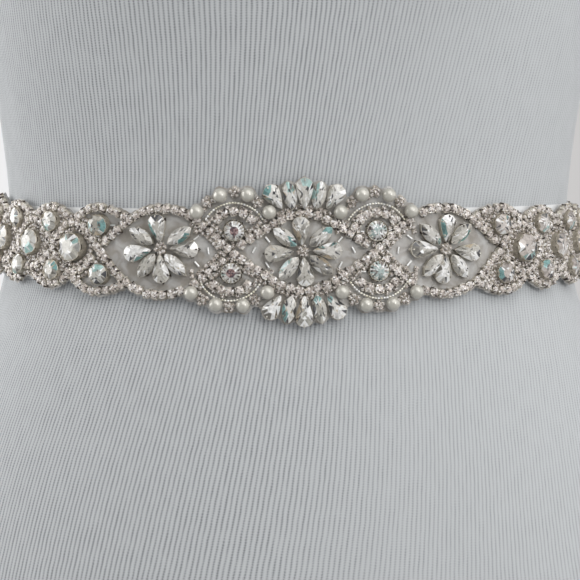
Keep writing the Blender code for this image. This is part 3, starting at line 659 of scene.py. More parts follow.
@dataclass(frozen=True)
class MetalFinish:
    """Bright plated metal of the stones' settings, duller in soft random patches, with its facet groups'
    painted shade, painted light and painted glints multiplied in.
    """

    name: str = "silver_setting"
    colour: Colour = (0.66, 0.63, 0.55)
    dull: Colour = (0.42, 0.39, 0.32)
    roughness: float = 0.30

    def build(self) -> Material:
        """Return the material."""
        bench = Bench(self.name)
        bench.set(Metallic=0.5)
        drift = bench.group(SHADES.drift, Vector=bench.place(), Scale=700.0, Amount=1.0)
        tint = bench.node("ShaderNodeAttribute")
        tint.attribute_name = TINT_AND_PAINTED_LIGHT
        plate = bench.mix(bench.span(drift, 0.0, 1.0, start=0.35, end=0.62), self.dull, self.colour)
        bench.to_shader(bench.mix(1.0, plate, tint.outputs["Color"], "MULTIPLY"), "Base Color")
        bench.to_shader(bench.span(drift, self.roughness + 0.2, self.roughness), "Roughness")
        return bench.material


@dataclass(frozen=True)
class PearlFinish:
    """Ivory pearl: a deep soft lustre under a clear skin."""

    colour: Colour = (0.46, 0.445, 0.395)
    deep: Colour = (0.38, 0.365, 0.32)

    def build(self) -> Material:
        """Return the material."""
        bench = Bench("ivory_pearl")
        bench.set(Metallic=0.25, Roughness=0.33, Coat_Weight=0.9, Coat_Roughness=0.14, Specular_IOR_Level=0.6)
        drift = bench.group(SHADES.drift, Vector=bench.place(), Scale=160.0, Amount=0.9)
        bench.to_shader(bench.mix(drift, self.deep, self.colour), "Base Color")
        grain = bench.node("ShaderNodeTexNoise", Vector=bench.place(), Scale=1500.0)
        bench.bump(grain.outputs[0], 0.01 * MM)
        return bench.material


@dataclass(frozen=True)
class FloorFinish:
    """Plain pale studio floor."""

    colour: Colour = (0.42, 0.42, 0.42)
    worn: Colour = (0.36, 0.36, 0.36)

    def build(self) -> Material:
        """Return the material."""
        bench = Bench("studio_floor")
        bench.set(Roughness=0.7)
        drift = bench.group(SHADES.drift, Vector=bench.place(), Scale=3.0, Amount=0.04)
        bench.to_shader(bench.mix(drift, self.worn, self.colour), "Base Color")
        return bench.material


@dataclass(frozen=True)
class Tints:
    """Colours that beads are drawn from: red, green, blue, and how often each comes."""

    rows: tuple[tuple[float, float, float, float], ...]

    def draw(self, rng: Rng, shape: tuple[int, ...]) -> Array:
        """Return colours drawn at random.

        Args:
            rng: The seeded generator.
            shape: How many to draw.

        Returns:
            An array of shape (*shape, 3).
        """
        table = np.array(self.rows)
        colours, shares = table[:, :3], table[:, 3]
        return colours[rng.choice(len(colours), size=shape, p=shares / shares.sum())]


@dataclass(frozen=True)
class Sparkle:
    """Painted reflections of a foiled stone, for how it breaks up the light: a few wide patches of painted
    reflection, small bright painted glints, and dark slivers of painted shade.
    """

    # colours of the painted reflections, painted glints and painted shade
    reflection_patch: Tints
    glint: Tints
    shade_sliver: Tints
    coloured_reflection: Tints | None = None  # one wide painted reflection, mostly teal, that some stones show
    coloured_reflections: float = 0.6  # share of the stones that show it
    # counts of the painted reflection patches, painted glints and painted shade slivers
    reflection_patches: int = 3
    glints: int = 3
    shade_slivers: int = 3
    joined: float = 0.75  # share of the inner facets that take one patch's colour
    uneven: tuple[float, ...] = (0.10, 0.14, 0.22, 0.45, 0.55)  # ring by ring, outwards
    shift: tuple[float, float] = (-1.0, 0.8)  # of uneven, at the darkest and the brightest
    heart: Tints | None = None  # the innermost facets, where they differ
    hearts: int = 2
    rings: int = 5
    sectors: int = 8

    def draw(self, rng: Rng, count: int) -> Array:
        """Return the colours of every facet group of some stones.

        Args:
            rng: The seeded generator.
            count: How many stones.

        Returns:
            An array of shape (count, rings * sectors, 3).
        """
        drawn = np.empty((count, self.rings, self.sectors, 3))
        every = np.arange(self.sectors)
        for stone in drawn:
            starts = np.sort(rng.choice(self.sectors, self.reflection_patches, replace=False))
            colours = self.reflection_patch.draw(rng, (self.reflection_patches,))
            owner = np.searchsorted(starts, every, side="right") % self.reflection_patches
            stone[:] = colours[owner]
            low = rng.integers(1, self.rings)
            joins = rng.random((self.sectors, 1)) < self.joined
            stone[:low] = np.where(joins, colours[rng.integers(self.reflection_patches)], stone[:low])
            if self.coloured_reflection and rng.random() < self.coloured_reflections:
                first, wide, ring = rng.integers(self.sectors), self.sectors // 4, rng.integers(1, 4)
                stone[ring:, (first + every[:wide]) % self.sectors] = self.coloured_reflection.draw(rng, (1,))[0]
            shifts = rng.uniform(*self.shift, (self.rings, self.sectors, 1))
            stone *= 1 + np.array(self.uneven)[:, None, None] * shifts
            for tints, times in ((self.glint, self.glints), (self.shade_sliver, self.shade_slivers)):
                for _ in range(times):
                    stone[rng.integers(1, self.rings), rng.integers(self.sectors)] = tints.draw(rng, (1,))[0]
        if self.heart:
            drawn[:, : self.hearts] = self.heart.draw(rng, (count, self.hearts, self.sectors))
        return np.clip(drawn, 0.0, 1.0).reshape(count, -1, 3)


# The stones' facet colours that follow are painted reflections, painted glints and painted shade.
CRYSTAL_SPARKLE = Sparkle(
    reflection_patch=Tints((
        (0.78, 0.77, 0.75, 0.22), (0.58, 0.56, 0.52, 0.32),
        (0.46, 0.44, 0.395, 0.27), (0.29, 0.275, 0.245, 0.19),
    )),
    glint=Tints(((0.86, 0.86, 0.85, 0.9), (0.50, 0.42, 0.31, 0.05), (0.62, 0.75, 0.74, 0.05))),
    shade_sliver=Tints(((0.05, 0.05, 0.055, 0.6), (0.15, 0.14, 0.12, 0.4))),
    coloured_reflection=Tints(((0.15, 0.29, 0.28, 0.5), (0.27, 0.41, 0.385, 0.44), (0.36, 0.30, 0.22, 0.06))), reflection_patches=4,
    glints=6, shade_slivers=7, sectors=16,
)
FAN_SPARKLE = replace(
    CRYSTAL_SPARKLE,
    reflection_patch=Tints((
        (0.80, 0.79, 0.77, 0.26), (0.67, 0.655, 0.615, 0.36),
        (0.54, 0.52, 0.475, 0.24), (0.36, 0.35, 0.31, 0.14),
    )),
    glint=Tints(((0.84, 0.84, 0.83, 0.8), (0.50, 0.42, 0.31, 0.1), (0.55, 0.68, 0.67, 0.1))), coloured_reflections=0.85,
    reflection_patches=5, glints=12, shade_slivers=12,
)
ROUND_SPARKLE = replace(
    CRYSTAL_SPARKLE,
    reflection_patch=Tints((
        (0.57, 0.56, 0.53, 0.25), (0.49, 0.475, 0.43, 0.37),
        (0.43, 0.41, 0.36, 0.26), (0.35, 0.33, 0.285, 0.12),
    )),
    glint=Tints(((0.74, 0.74, 0.73, 0.9), (0.50, 0.42, 0.31, 0.05), (0.55, 0.68, 0.67, 0.05))), coloured_reflections=0.75,
    reflection_patches=7, glints=9, shade_slivers=8,
)
BUSY_SPARKLE = replace(
    ROUND_SPARKLE,
    reflection_patch=Tints((
        (0.60, 0.57, 0.54, 0.2), (0.49, 0.445, 0.41, 0.36),
        (0.41, 0.365, 0.33, 0.28), (0.31, 0.27, 0.245, 0.16),
    )),
    reflection_patches=11, glints=14, shade_slivers=15,
)
RHINESTONE_SPARKLE = Sparkle(
    reflection_patch=Tints((
        (0.64, 0.585, 0.54, 0.25), (0.56, 0.50, 0.45, 0.35),
        (0.49, 0.43, 0.38, 0.25), (0.42, 0.365, 0.32, 0.15),
    )),
    glint=Tints(((0.90, 0.88, 0.86, 1.0),)),
    shade_sliver=Tints(((0.07, 0.055, 0.05, 0.4), (0.22, 0.185, 0.165, 0.6))),
    reflection_patches=6, glints=14, shade_slivers=15, uneven=(0.15, 0.2, 0.3, 0.4, 0.5), sectors=12,
)
CUP_TINTS_LIGHT_AND_SHADE: tuple[Colour, ...] = (
    (1.0, 1.0, 1.0),  # bare metal
    (0.17, 0.135, 0.11),  # painted shade: the dark gaps in a tall cup's sides, under the stone's girdle
    (0.95, 0.875, 0.85),  # the plate under a small one
    (1.18, 1.16, 1.17),  # painted light: a tall cup's wall, lifted brighter than the bare metal
)
# painted glints and painted shade on the claws: bright, plain and dark
CLAW_GLINTS_AND_SHADE = Tints(((1.22, 1.22, 1.28, 0.42), (0.86, 0.84, 0.86, 0.28), (0.12, 0.10, 0.10, 0.30)))
ROSE_SPARKLE = Sparkle(
    reflection_patch=Tints(((0.66, 0.66, 0.64, 0.45), (0.55, 0.54, 0.505, 0.4), (0.40, 0.50, 0.475, 0.15))),
    glint=Tints(((0.84, 0.84, 0.83, 1.0),)), shade_sliver=Tints(((0.14, 0.11, 0.11, 0.6), (0.34, 0.31, 0.29, 0.4))),
    reflection_patches=11, glints=24, shade_slivers=20, sectors=20,
    heart=Tints((
        (0.24, 0.14, 0.13, 0.4), (0.10, 0.06, 0.07, 0.3),
        (0.40, 0.30, 0.29, 0.2), (0.03, 0.02, 0.03, 0.1),
    )),
)
CLEAR_ROSE_SPARKLE = replace(
    ROSE_SPARKLE, reflection_patch=Tints(((0.68, 0.68, 0.66, 0.3), (0.53, 0.525, 0.50, 0.36), (0.38, 0.46, 0.44, 0.34))),
    reflection_patches=9, heart=None,
)
BEAD_TINTS = Tints(((0.98, 0.95, 0.84, 0.5), (0.80, 0.76, 0.62, 0.25), (1.0, 1.0, 0.98, 0.25)))
BUGLE_TINTS = Tints(((1.0, 1.0, 0.98, 0.7), (0.76, 0.78, 0.77, 0.3)))


# --- Making pieces ---
def add_piece(
    name: str,
    shape: BMesh,
    finish: Material,
    slot: Slot,
    smooth_degrees: float | None = 40.0,
    replaced: Sequence[str] = (),
) -> Piece:
    """Turn a bmesh in world coordinates into a piece that rides the body.

    Args:
        name: Name of the piece.
        shape: The finished bmesh, which is freed.
        finish: Its material.
        slot: Not used.
        smooth_degrees: Edges sharper than this stay sharp; None shades it flat.
        replaced: The CAD nodes it stands for.

    Returns:
        The new object.
    """
    mesh = bpy.data.meshes.new(name)
    shape.to_mesh(mesh)
    shape.free()
    mesh.materials.append(finish)
    if smooth_degrees is None:
        mesh.shade_flat()
    else:
        mesh.shade_smooth()
        mesh.set_sharp_from_angle(angle=math.radians(smooth_degrees))
    piece = bpy.data.objects.new(name, mesh)
    bpy.context.scene.collection.objects.link(piece)
    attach(piece, BODY)
    if replaced:
        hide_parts(*replaced)
    log.info("%s: %d faces", name, len(mesh.polygons))
    return piece


def mapped_cloth(
    columns: int,
    rows: int,
    place: Callable[[Array, Array], Array],
    uv: Callable[[Array, Array], Array],
    wall: float = 0.0,
    joined: bool = False,
    turned: bool = False,
) -> BMesh:
    """Lay a grid on a surface, and give it a wall.

    Args:
        columns: Faces along u.
        rows: Faces along v.
        place: Gives the points at arrays of u and v, each 0..1.
        uv: Gives the cloth UV at arrays of u and v.
        wall: Thickness, measured inwards from the surface, or 0 for none.
        joined: Whether the end at u = 1 is sewn to the one at u = 0.
        turned: Whether u and v run round the surface the other way.

    Returns:
        The cloth as a bmesh.
    """
    cloth = bmesh.new()
    bmesh.ops.create_grid(cloth, x_segments=columns, y_segments=rows, size=0.5)
    flat = np.array([vert.co[:2] for vert in cloth.verts]) + 0.5
    spots, marks = place(flat[:, 0], flat[:, 1]), uv(flat[:, 0], flat[:, 1])
    layer = cloth.loops.layers.uv.new(CLOTH_UV)
    cloth.verts.index_update()
    for face in cloth.faces:
        for loop in face.loops:
            loop[layer].uv = marks[loop.vert.index]
    for vert, spot in zip(cloth.verts, spots):
        vert.co = spot
    if joined:
        border = [vert for vert in cloth.verts if vert.is_boundary]
        bmesh.ops.remove_doubles(cloth, verts=border, dist=0.01 * MM)
    if turned:
        bmesh.ops.reverse_faces(cloth, faces=cloth.faces)
    if wall:
        bmesh.ops.solidify(cloth, geom=cloth.faces[:], thickness=wall)
    return cloth


def as_mesh(shape: BMesh) -> Mesh:
    """Return a bmesh as mesh data, and free it."""
    mesh = bpy.data.meshes.new("pattern")
    shape.to_mesh(mesh)
    shape.free()
    return mesh


def scatter(proto: Mesh, seats: Iterable[Matrix]) -> BMesh:
    """Copy a mesh to many places.

    Args:
        proto: The mesh.
        seats: Where each copy goes.

    Returns:
        One bmesh with all of them.
    """
    many = bmesh.new()
    for seat in seats:
        copy = proto.copy()
        copy.transform(seat)
        many.from_mesh(copy)
        bpy.data.meshes.remove(copy)
    return many


def add_tints(piece: Piece, colours: Array) -> None:
    """Give every facet a colour, as a colour attribute on its corners: the beads' own tints, and the painted
    reflections, glints and shade of the stones and their settings.

    Args:
        piece: The piece.
        colours: One colour a face, of shape (faces, 3).
    """
    mesh = piece.data
    counts = np.zeros(len(mesh.polygons), dtype=int)
    mesh.polygons.foreach_get("loop_total", counts)
    corners = np.repeat(np.concatenate([colours, np.ones((len(colours), 1))], axis=1), counts, axis=0)
    mesh.color_attributes.new(TINT_AND_PAINTED_LIGHT, "FLOAT_COLOR", "CORNER").data.foreach_set("color", corners.ravel())


# --- Dress form ---
@dataclass(frozen=True)
class DressForm:
    """The form's knitted cover and the cap on its neck."""

    surface: FormSurface
    ribs: int = 432
    rib_lean: float = -48.9  # ribs that the cover is pulled aside in each metre of height
    pull: tuple[tuple[int, float, float, float], ...] = (
        (4, 0.0, 1.52, -0.399),
        (1, -2.22, 3.72, -0.121),
        (1, 2.22, 1.72, 0.239),
        (3, -4.44, 0.89, 0.254),
        (3, 2.22, 1.16, -0.060),
        (1, 0.0, 3.70, 0.340),
        (4, -2.22, 0.99, -0.162),
        (5, -2.22, 0.67, 0.233),
    )  # soft waves in the pull: waves round the form, waves a metre up it, size in ribs, start in turns
    pull_rounds: int = 14
    rows: int = 108
    rib_relief: float = 0.14 * MM
    cap_rise: float = 10 * MM
    cap_bevel: float = 3 * MM
    cap_steps: int = 96
    cap_bevel_steps: int = 6
    cap_foot: tuple[float, float] = (0.3, 1 * MM)  # chamfer at its foot: share of the bevel, and height
    cap_groove: tuple[float, float, float] = (0.62, 0.60, 0.58)  # across its top, as shares of its width
    cap_groove_depth: float = 0.5 * MM
    layer_gap: float = 0.4 * MM

    def _pulled(self, rib: Array, rise: Array) -> Array:
        """Work out where the ribs of the unevenly pulled cover lie.

        Args:
            rib: Places in the flat cover, 0..1.
            rise: Heights over the waist.

        Returns:
            Shares of the way round, 0..1.
        """
        share = rib
        for _ in range(self.pull_rounds):
            aside = self.rib_lean * rise
            for waves, climbs, size, start in self.pull:
                aside = aside + size * np.sin(2 * math.pi * (waves * (share - 0.5) + climbs * rise + start))
            share = rib - aside / self.ribs
        return share % 1.0

    def _cover(self) -> None:
        """Build the cover, closed under the base and at the neck, with every rib in its shape."""
        half = self.surface.half_round
        low, high = self.surface.rises[0], self.surface.rises[-1]
        columns = 2 * self.ribs

        def place(u: Array, v: Array) -> Array:
            """Set even columns as crests and odd ones as grooves.

            Args:
                u: Ways round, 0..1.
                v: Ways up, 0..1.

            Returns:
                Points of the cover.
            """
            rise = low + v * (high - low)
            turn = self.surface.turn_at((2 * self._pulled(u, rise) - 1) * half)
            crest = np.cos(math.pi * np.round(u * columns)) * 0.5 - 0.5
            inwards = crest * self.rib_relief
            return self.surface.point(turn, rise) + self.surface.outward(turn, rise) * inwards[:, None]

        cover = mapped_cloth(
            columns, self.rows, place, lambda u, v: np.stack([u, v * (high - low)], axis=1), joined=True
        )
        rims = [edge for edge in cover.edges if edge.is_boundary]
        bmesh.ops.holes_fill(cover, edges=rims, sides=0)
        flats = [face for face in cover.faces if len(face.verts) > 4]
        bmesh.ops.triangulate(cover, faces=flats)
        add_piece("jersey_cover", cover, JerseyFinish(self.ribs).build(), Slot.JERSEY, 60.0, ["form_body"])

    def _cap(self) -> None:
        """Build the turned cap: a profile spun round the neck's axis, then made as oval as the neck."""
        width, depth, centre, _ = (float(value) for value in self.surface.level(self.surface.rises[-1]))
        base = self.surface.shape.waist_z * MM + float(self.surface.rises[-1])
        cap = bmesh.new()
        inset, rise, bevel, foot = self.cap_bevel / width, self.cap_rise, self.cap_bevel, self.layer_gap
        profile = [(0.0, foot), (1 - inset * self.cap_foot[0], foot), (1.0, foot + self.cap_foot[1])]
        profile.append((1.0, rise - bevel))
        for angle in np.linspace(0.0, math.pi / 2, self.cap_bevel_steps + 1)[1:]:
            profile.append((1 - inset * (1 - math.cos(angle)), rise - bevel * (1 - math.sin(angle))))
        outer, bottom, inner = self.cap_groove
        profile += [(outer, rise), (bottom, rise - self.cap_groove_depth), (inner, rise), (0.0, rise)]
        chain = [cap.verts.new((radius, 0.0, height)) for radius, height in profile]
        edges = [cap.edges.new(pair) for pair in zip(chain, chain[1:])]
        bmesh.ops.spin(
            cap, geom=[*chain, *edges], axis=(0, 0, 1), angle=2 * math.pi, steps=self.cap_steps,
            use_merge=True,
        )
        bmesh.ops.remove_doubles(cap, verts=cap.verts, dist=1e-6)
        bmesh.ops.recalc_face_normals(cap, faces=cap.faces)
        bmesh.ops.transform(
            cap, matrix=Matrix.Translation((0.0, centre, base)) @ Matrix.Diagonal((width, depth, 1.0, 1.0)),
            verts=cap.verts,
        )
        add_piece("neck_cap", cap, CapFinish().build(), Slot.CAP, 35.0, ["form_neck_cap"])

    def build(self) -> None:
        """Build both pieces."""
        self._cover()
        self._cap()


# --- Ribbon ---
@dataclass(frozen=True)
class Ribbon:
    """The satin ribbon: its run round the waist, the knot at the back and the two hanging ends."""

    surface: FormSurface
    top: float = 18 * MM
    bottom: float = -14 * MM
    outer: float = 1.35 * MM
    wall: float = 0.5 * MM
    cut_width: float = 0.032  # of the flat ribbon
    run_length: float = 0.722  # flat, once round
    columns: int = 720
    rows: int = 20
    crease_reach: float = 38 * MM  # how far from the knot the run's creases die out
    creases: float = 7.5  # half waves across the run
    crease_depth: float = 0.294 * MM
    sink: float = 0.35 * MM  # how far the run lies inside its outer limit
    ripple: float = 0.10 * MM  # waves of its two edges
    selvedge: float = 0.18 * MM  # how far its edges turn in
    knot_length: float = 0.062  # of flat ribbon that wraps the knot
    knot_width: float = 27 * MM
    knot_height: float = 35 * MM
    knot_depth: float = 11 * MM
    knot_seat: float = 1.8 * MM
    knot_grid: tuple[int, int] = (56, 40)
    knot_pinch: float = 0.18
    knot_crease: float = 0.9 * MM
    knot_fine_crease: float = 0.28 * MM
    tail_top: float = -15.9 * MM
    tail_length: float = 205 * MM
    tail_slant: float = 14 * MM
    tail_throat: float = 13 * MM
    tail_width: float = 31 * MM
    tail_opens_over: float = 55 * MM
    tail_throat_x: float = 8.2 * MM
    tail_end_x: float = 34 * MM
    tail_lift: float = 0.85 * MM
    tail_grid: tuple[int, int] = (36, 150)
    tail_gather: float = 1.6 * MM
    tail_swing: float = 1.2 * MM
    tail_pleat: float = 0.35 * MM
    tail_area: float = 0.0059

    def _band(self, satin: Material) -> None:
        """Build the run round the waist, pulled a little into creases towards the knot.

        Args:
            satin: The ribbon's material.
        """
        half, tall = self.surface.half_round, self.top - self.bottom

        def place(u: Array, v: Array) -> Array:
            """Lay the ribbon on the form.

            Args:
                u: Ways along it, 0..1.
                v: Ways up, 0..1.

            Returns:
                Points of its face.
            """
            s, h = (2 * u - 1) * half, self.bottom + v * tall
            near_knot = np.exp(-(((half - np.abs(s)) / self.crease_reach) ** 2))
            folds = np.sin(v * self.creases * math.pi + 1.2 * np.sin(s / (26 * MM))) * near_knot
            edge = np.abs(2 * v - 1)
            ripple = np.sin(s / (9.3 * MM) + 2.0 * np.sin(s / (31 * MM))) * edge**2
            out = self.outer - self.sink + folds * self.crease_depth + ripple * self.ripple
            return self.surface.place(s, h, out - self.selvedge * np.clip(edge * 6 - 5, 0, 1))

        def uv(u: Array, v: Array) -> Array:
            """Return the cloth's UV, in metres."""
            return np.stack([u * 2 * half, v * tall], axis=1)

        band = mapped_cloth(self.columns, self.rows, place, uv, self.wall, joined=True)
        piece = add_piece("ribbon_run", band, satin, Slot.SATIN, 50.0, ["ribbon_band"])

    def _knot(self, satin: Material) -> None:
        """Build the knot: the ribbon's own width, folded in and wrapped over the run.

        Args:
            satin: The ribbon's material.
        """
        middle = (self.top + self.bottom) / 2

        def place(u: Array, v: Array) -> Array:
            """Shape the knot, which turns down to the run at its rim.

            Args:
                u: Ways across, 0..1.
                v: Ways up, 0..1.

            Returns:
                Points of its face.
            """
            a, b = 2 * u - 1, 2 * v - 1
            pinch = 1 - self.knot_pinch * (1 - b**2)
            dome = np.clip(1 - a**4, 0, 1) ** 0.5 * np.clip(1 - np.abs(b) ** 5, 0, 1) ** 0.4
            bend = a + 0.10 * np.sin(2.2 * b + 0.6)
            crease = self.knot_crease * np.cos(3 * math.pi * bend + 0.7 * b)
            fine = self.knot_fine_crease * np.sin(8.5 * math.pi * bend + 1.3 * b)
            lift = (self.knot_depth - (crease + fine) * (1 - a**2)) * dome
            return self.surface.back(
                a * self.knot_width / 2 * pinch, middle + b * self.knot_height / 2, self.knot_seat + lift
            )

        def uv(u: Array, v: Array) -> Array:
            """Return the cloth's UV, in metres."""
            return np.stack([v * self.knot_length, u * self.cut_width], axis=1)

        knot = mapped_cloth(*self.knot_grid, place, uv, self.wall, turned=True)
        piece = add_piece("knot_wrap", knot, satin, Slot.SATIN, 50.0, ["back_knot"])

    def _tail(self, side: int, word: str, satin: Material) -> None:
        """Build one hanging end, gathered under the knot and cut on a slant.

        Args:
            side: 1 for the left one, -1 for the right one.
            word: The side's name.
            satin: The ribbon's material.
        """

        def place(u: Array, v: Array) -> Array:
            """Shape the tail.

            Args:
                u: Ways across it from -X to +X, 0..1.
                v: Ways up it from its cut end, 0..1.

            Returns:
                Points of its face.
            """
            down, across = 1 - v, (2 * u - 1) * side
            opened = np.clip(down * self.tail_length / self.tail_opens_over, 0, 1)
            opened = opened * opened * (3 - 2 * opened)
            width = self.tail_throat + (self.tail_width - self.tail_throat) * opened
            length = self.tail_length + self.tail_slant * across / 2
            middle = self.tail_throat_x + (self.tail_end_x - self.tail_throat_x) * down**0.8
            x = side * (middle + across * width / 2)
            gather = self.tail_gather * (1 - 0.75 * opened) * (1 + np.cos(2 * math.pi * across)) / 2
            turns = 1.6 * down + 0.15 * across
            swing = self.tail_swing * (1 + np.sin(2 * math.pi * turns + side)) / 2 * opened
            pleat = self.tail_pleat * (1 + np.sin(9 * across + 4 * down)) * (1 - opened) ** 1.5
            return self.surface.back(
                x, self.tail_top - down * length, self.tail_lift + gather + swing + pleat
            )

        def uv(u: Array, v: Array) -> Array:
            """Return the cloth's UV, in metres."""
            return np.stack([v * self.tail_length, u * self.tail_width], axis=1)

        tail = mapped_cloth(*self.tail_grid, place, uv, self.wall, turned=True)
        piece = add_piece(f"ribbon_tail_{word}", tail, satin, Slot.SATIN, 50.0, [f"tail_{word}"])

    def build(self) -> None:
        """Build the four pieces."""
        satin = SatinFinish().build()
        self._band(satin)
        self._knot(satin)
        for side, word in ((1, "left"), (-1, "right")):
            self._tail(side, word, satin)


# --- Layout of the beading ---
@dataclass(frozen=True)
class Petal:
    """One petal of the flowers: its cut and its direction in degrees in each of the three."""

    cut: Cut
    centre: float
    right: float
    left: float


@dataclass(frozen=True)
class FanStone:
    """One stone of a fan: cut, place in millimetres, lean from upright in degrees, and length."""

    cut: Cut
    s: float
    h: float
    lean: float
    length: float


@dataclass(frozen=True)
class Layout:
    """Named sizes of the beaded trim, in metres, and the lines that its rows follow."""

    centre_crossing: float = 31.0 * MM
    flower_crossing: float = 89.5 * MM
    end_pitch: float = 25.0 * MM
    end_frames: int = 5
    centre_rise: float = 16.6 * MM
    centre_power: float = 0.82
    flower_rise: float = 18.3 * MM
    flower_power: float = 1.08
    end_rise: float = 10.6 * MM
    end_power: float = 1.2
    scallop_tops: tuple[float, ...] = (20.3 * MM, 19.1 * MM, 18.7 * MM, 18.3 * MM, 18.0 * MM)
    scallop_drop: float = 6.3 * MM
    scallop_lead: float = 17.0 * MM  # the first scallop reaches this far towards the flower
    sway_from: float = 80.0 * MM  # where the wearer's right end run starts to climb
    sway_slope: float = 0.043
    lobe_h: float = 6.5 * MM
    centre_cut: float = 47.8 * MM
    flower_cut: float = 77.0 * MM
    cut_gap: float = 0.02 * MM
    end: float = 216.8 * MM

    @property
    def flower_middle(self) -> float:
        """Return how far the side flowers stand from the centre front."""
        return (self.centre_crossing + self.flower_crossing) / 2

    @property
    def crossings(self) -> list[float]:
        """Return where the two bands of rhinestones cross, on one side."""
        ends = [self.flower_crossing + k * self.end_pitch for k in range(self.end_frames + 1)]
        return [self.centre_crossing, *ends]

    def weave(self, s: float) -> float:
        """Work out the height of the upper band's middle.

        Args:
            s: Way round the sash.

        Returns:
            The height.
        """
        reach = abs(s)
        if reach <= self.centre_crossing:
            middle, half, rise, power = 0.0, self.centre_crossing, self.centre_rise, self.centre_power
        elif reach <= self.flower_crossing:
            middle, rise, power = self.flower_middle, self.flower_rise, self.flower_power
            half = self.flower_crossing - middle
        else:
            index = min(int((reach - self.flower_crossing) / self.end_pitch), self.end_frames - 1)
            middle = self.flower_crossing + (index + 0.5) * self.end_pitch
            half, rise, power = self.end_pitch / 2, self.end_rise, self.end_power
        away = min(abs(reach - middle) / half, 1.0)
        return rise * math.cos(math.pi / 2 * away**power)

    def lobe_middle(self, lobe: int, side: int, aside: float, upward: float) -> tuple[float, float]:
        """Return where the middle of a lobe lies, from its row in LOBES."""
        return lobe * self.centre_crossing + aside * MM, side * self.lobe_h + upward * MM

    def sway(self, s: float) -> float:
        """Return how far the trim has climbed on the wearer's right side."""
        return self.sway_slope * max(-s - self.sway_from, 0.0)

    def scallop(self, s: float) -> float:
        """Work out the height of the end runs' scalloped edge.

        Args:
            s: Way round the sash.

        Returns:
            The height, or 0 where there is none.
        """
        past = abs(s) - self.flower_crossing
        if not -self.scallop_lead <= past < (self.end_frames - 0.5) * self.end_pitch:
            return 0.0
        index = max(round(past / self.end_pitch), 0)
        away = past / self.scallop_lead
        if past >= 0:
            away = (past - index * self.end_pitch) / (self.end_pitch / 2)
        return self.scallop_tops[index] - self.scallop_drop * away**2

    def stretch(self, s: float) -> Stretch:
        """Return the stretch that a place belongs to."""
        if abs(s) <= self.centre_cut:
            return Stretch.CENTER
        if abs(s) <= self.flower_cut:
            return Stretch.FLOWER_LEFT if s > 0 else Stretch.FLOWER_RIGHT
        return Stretch.END_LEFT if s > 0 else Stretch.END_RIGHT

    def spans(self) -> dict[Stretch, tuple[float, float]]:
        """Return where each stretch starts and ends."""
        flower = (self.centre_cut + self.cut_gap, self.flower_cut)
        run = (self.flower_cut + self.cut_gap, self.end)
        return {
            Stretch.CENTER: (-self.centre_cut, self.centre_cut),
            Stretch.FLOWER_LEFT: flower,
            Stretch.FLOWER_RIGHT: (-flower[1], -flower[0]),
            Stretch.END_LEFT: run,
            Stretch.END_RIGHT: (-run[1], -run[0]),
        }


FLOWERS = (("centre", -0.6, 0.4), ("right", -60.6, 1.3), ("left", 61.5, 0.6))  # name, s and h in millimetres
QUARTERS = ((-1, -1), (-1, 1), (1, -1), (1, 1))  # lobe: the wearer's right or left; side: under or over
LOBES = (
    (-1, 1, 1.5, 0.4),
    (-1, -1, 0.5, -0.2),
    (1, 1, 0.0, 0.1),
    (1, -1, 0.4, 0.5),
)  # lobe, side, and the millimetres that it is set aside and up
PEARLS = {
    1: ((15.3, 17.0), (24.3, 24.4), (35.7, 24.1), (45.7, 17.1)),
    -1: ((15.4, 17.0), (25.1, 22.5), (36.2, 22.2), (46.7, 17.4)),
}  # s and h in millimetres over (1) and under (-1) the middle line
ROSETTES = {1: ((20.3, 21.0), (29.9, 25.3), (41.2, 21.0)), -1: ((20.4, 20.1), (30.8, 22.9), (42.0, 20.2))}
UNDER_NUDGES = (2.0, 3.0, 5.0, 5.0, 5.0)  # millimetres inwards, of the under stones on the wearer's right
LOOSE_BUGLES = (
    (15.4, 5.2, 52),
    (21.0, 0.8, -62),
    (15.4, -5.4, 62),
    (45.6, 5.9, -38),
    (45.0, -5.2, 48),
    (40.4, 0.4, 82),
)  # s and h in millimetres, and degrees
PETALS = (
    Petal(Cut.PEAR, 0, -1, -8),
    Petal(Cut.MARQUISE, 38, 34, 41),
    Petal(Cut.PEAR, 94, 100, 85),
    Petal(Cut.MARQUISE, 143, 150, 137),
    Petal(Cut.PEAR, 184, 190, 180),
    Petal(Cut.MARQUISE, 230, 234, 226),
    Petal(Cut.PEAR, 275, 275, 260),
    Petal(Cut.MARQUISE, 322, 314, 307),
)
FAN_STONES = (
    FanStone(Cut.PEAR, -12.6, 23.2, -34, 11.2),
    FanStone(Cut.MARQUISE, -6.2, 24.3, -11, 11.8),
    FanStone(Cut.PEAR, 0.0, 25.0, 0, 13.0),
    FanStone(Cut.MARQUISE, 6.2, 24.3, 11, 11.8),
    FanStone(Cut.PEAR, 12.6, 23.2, 34, 11.2),
)


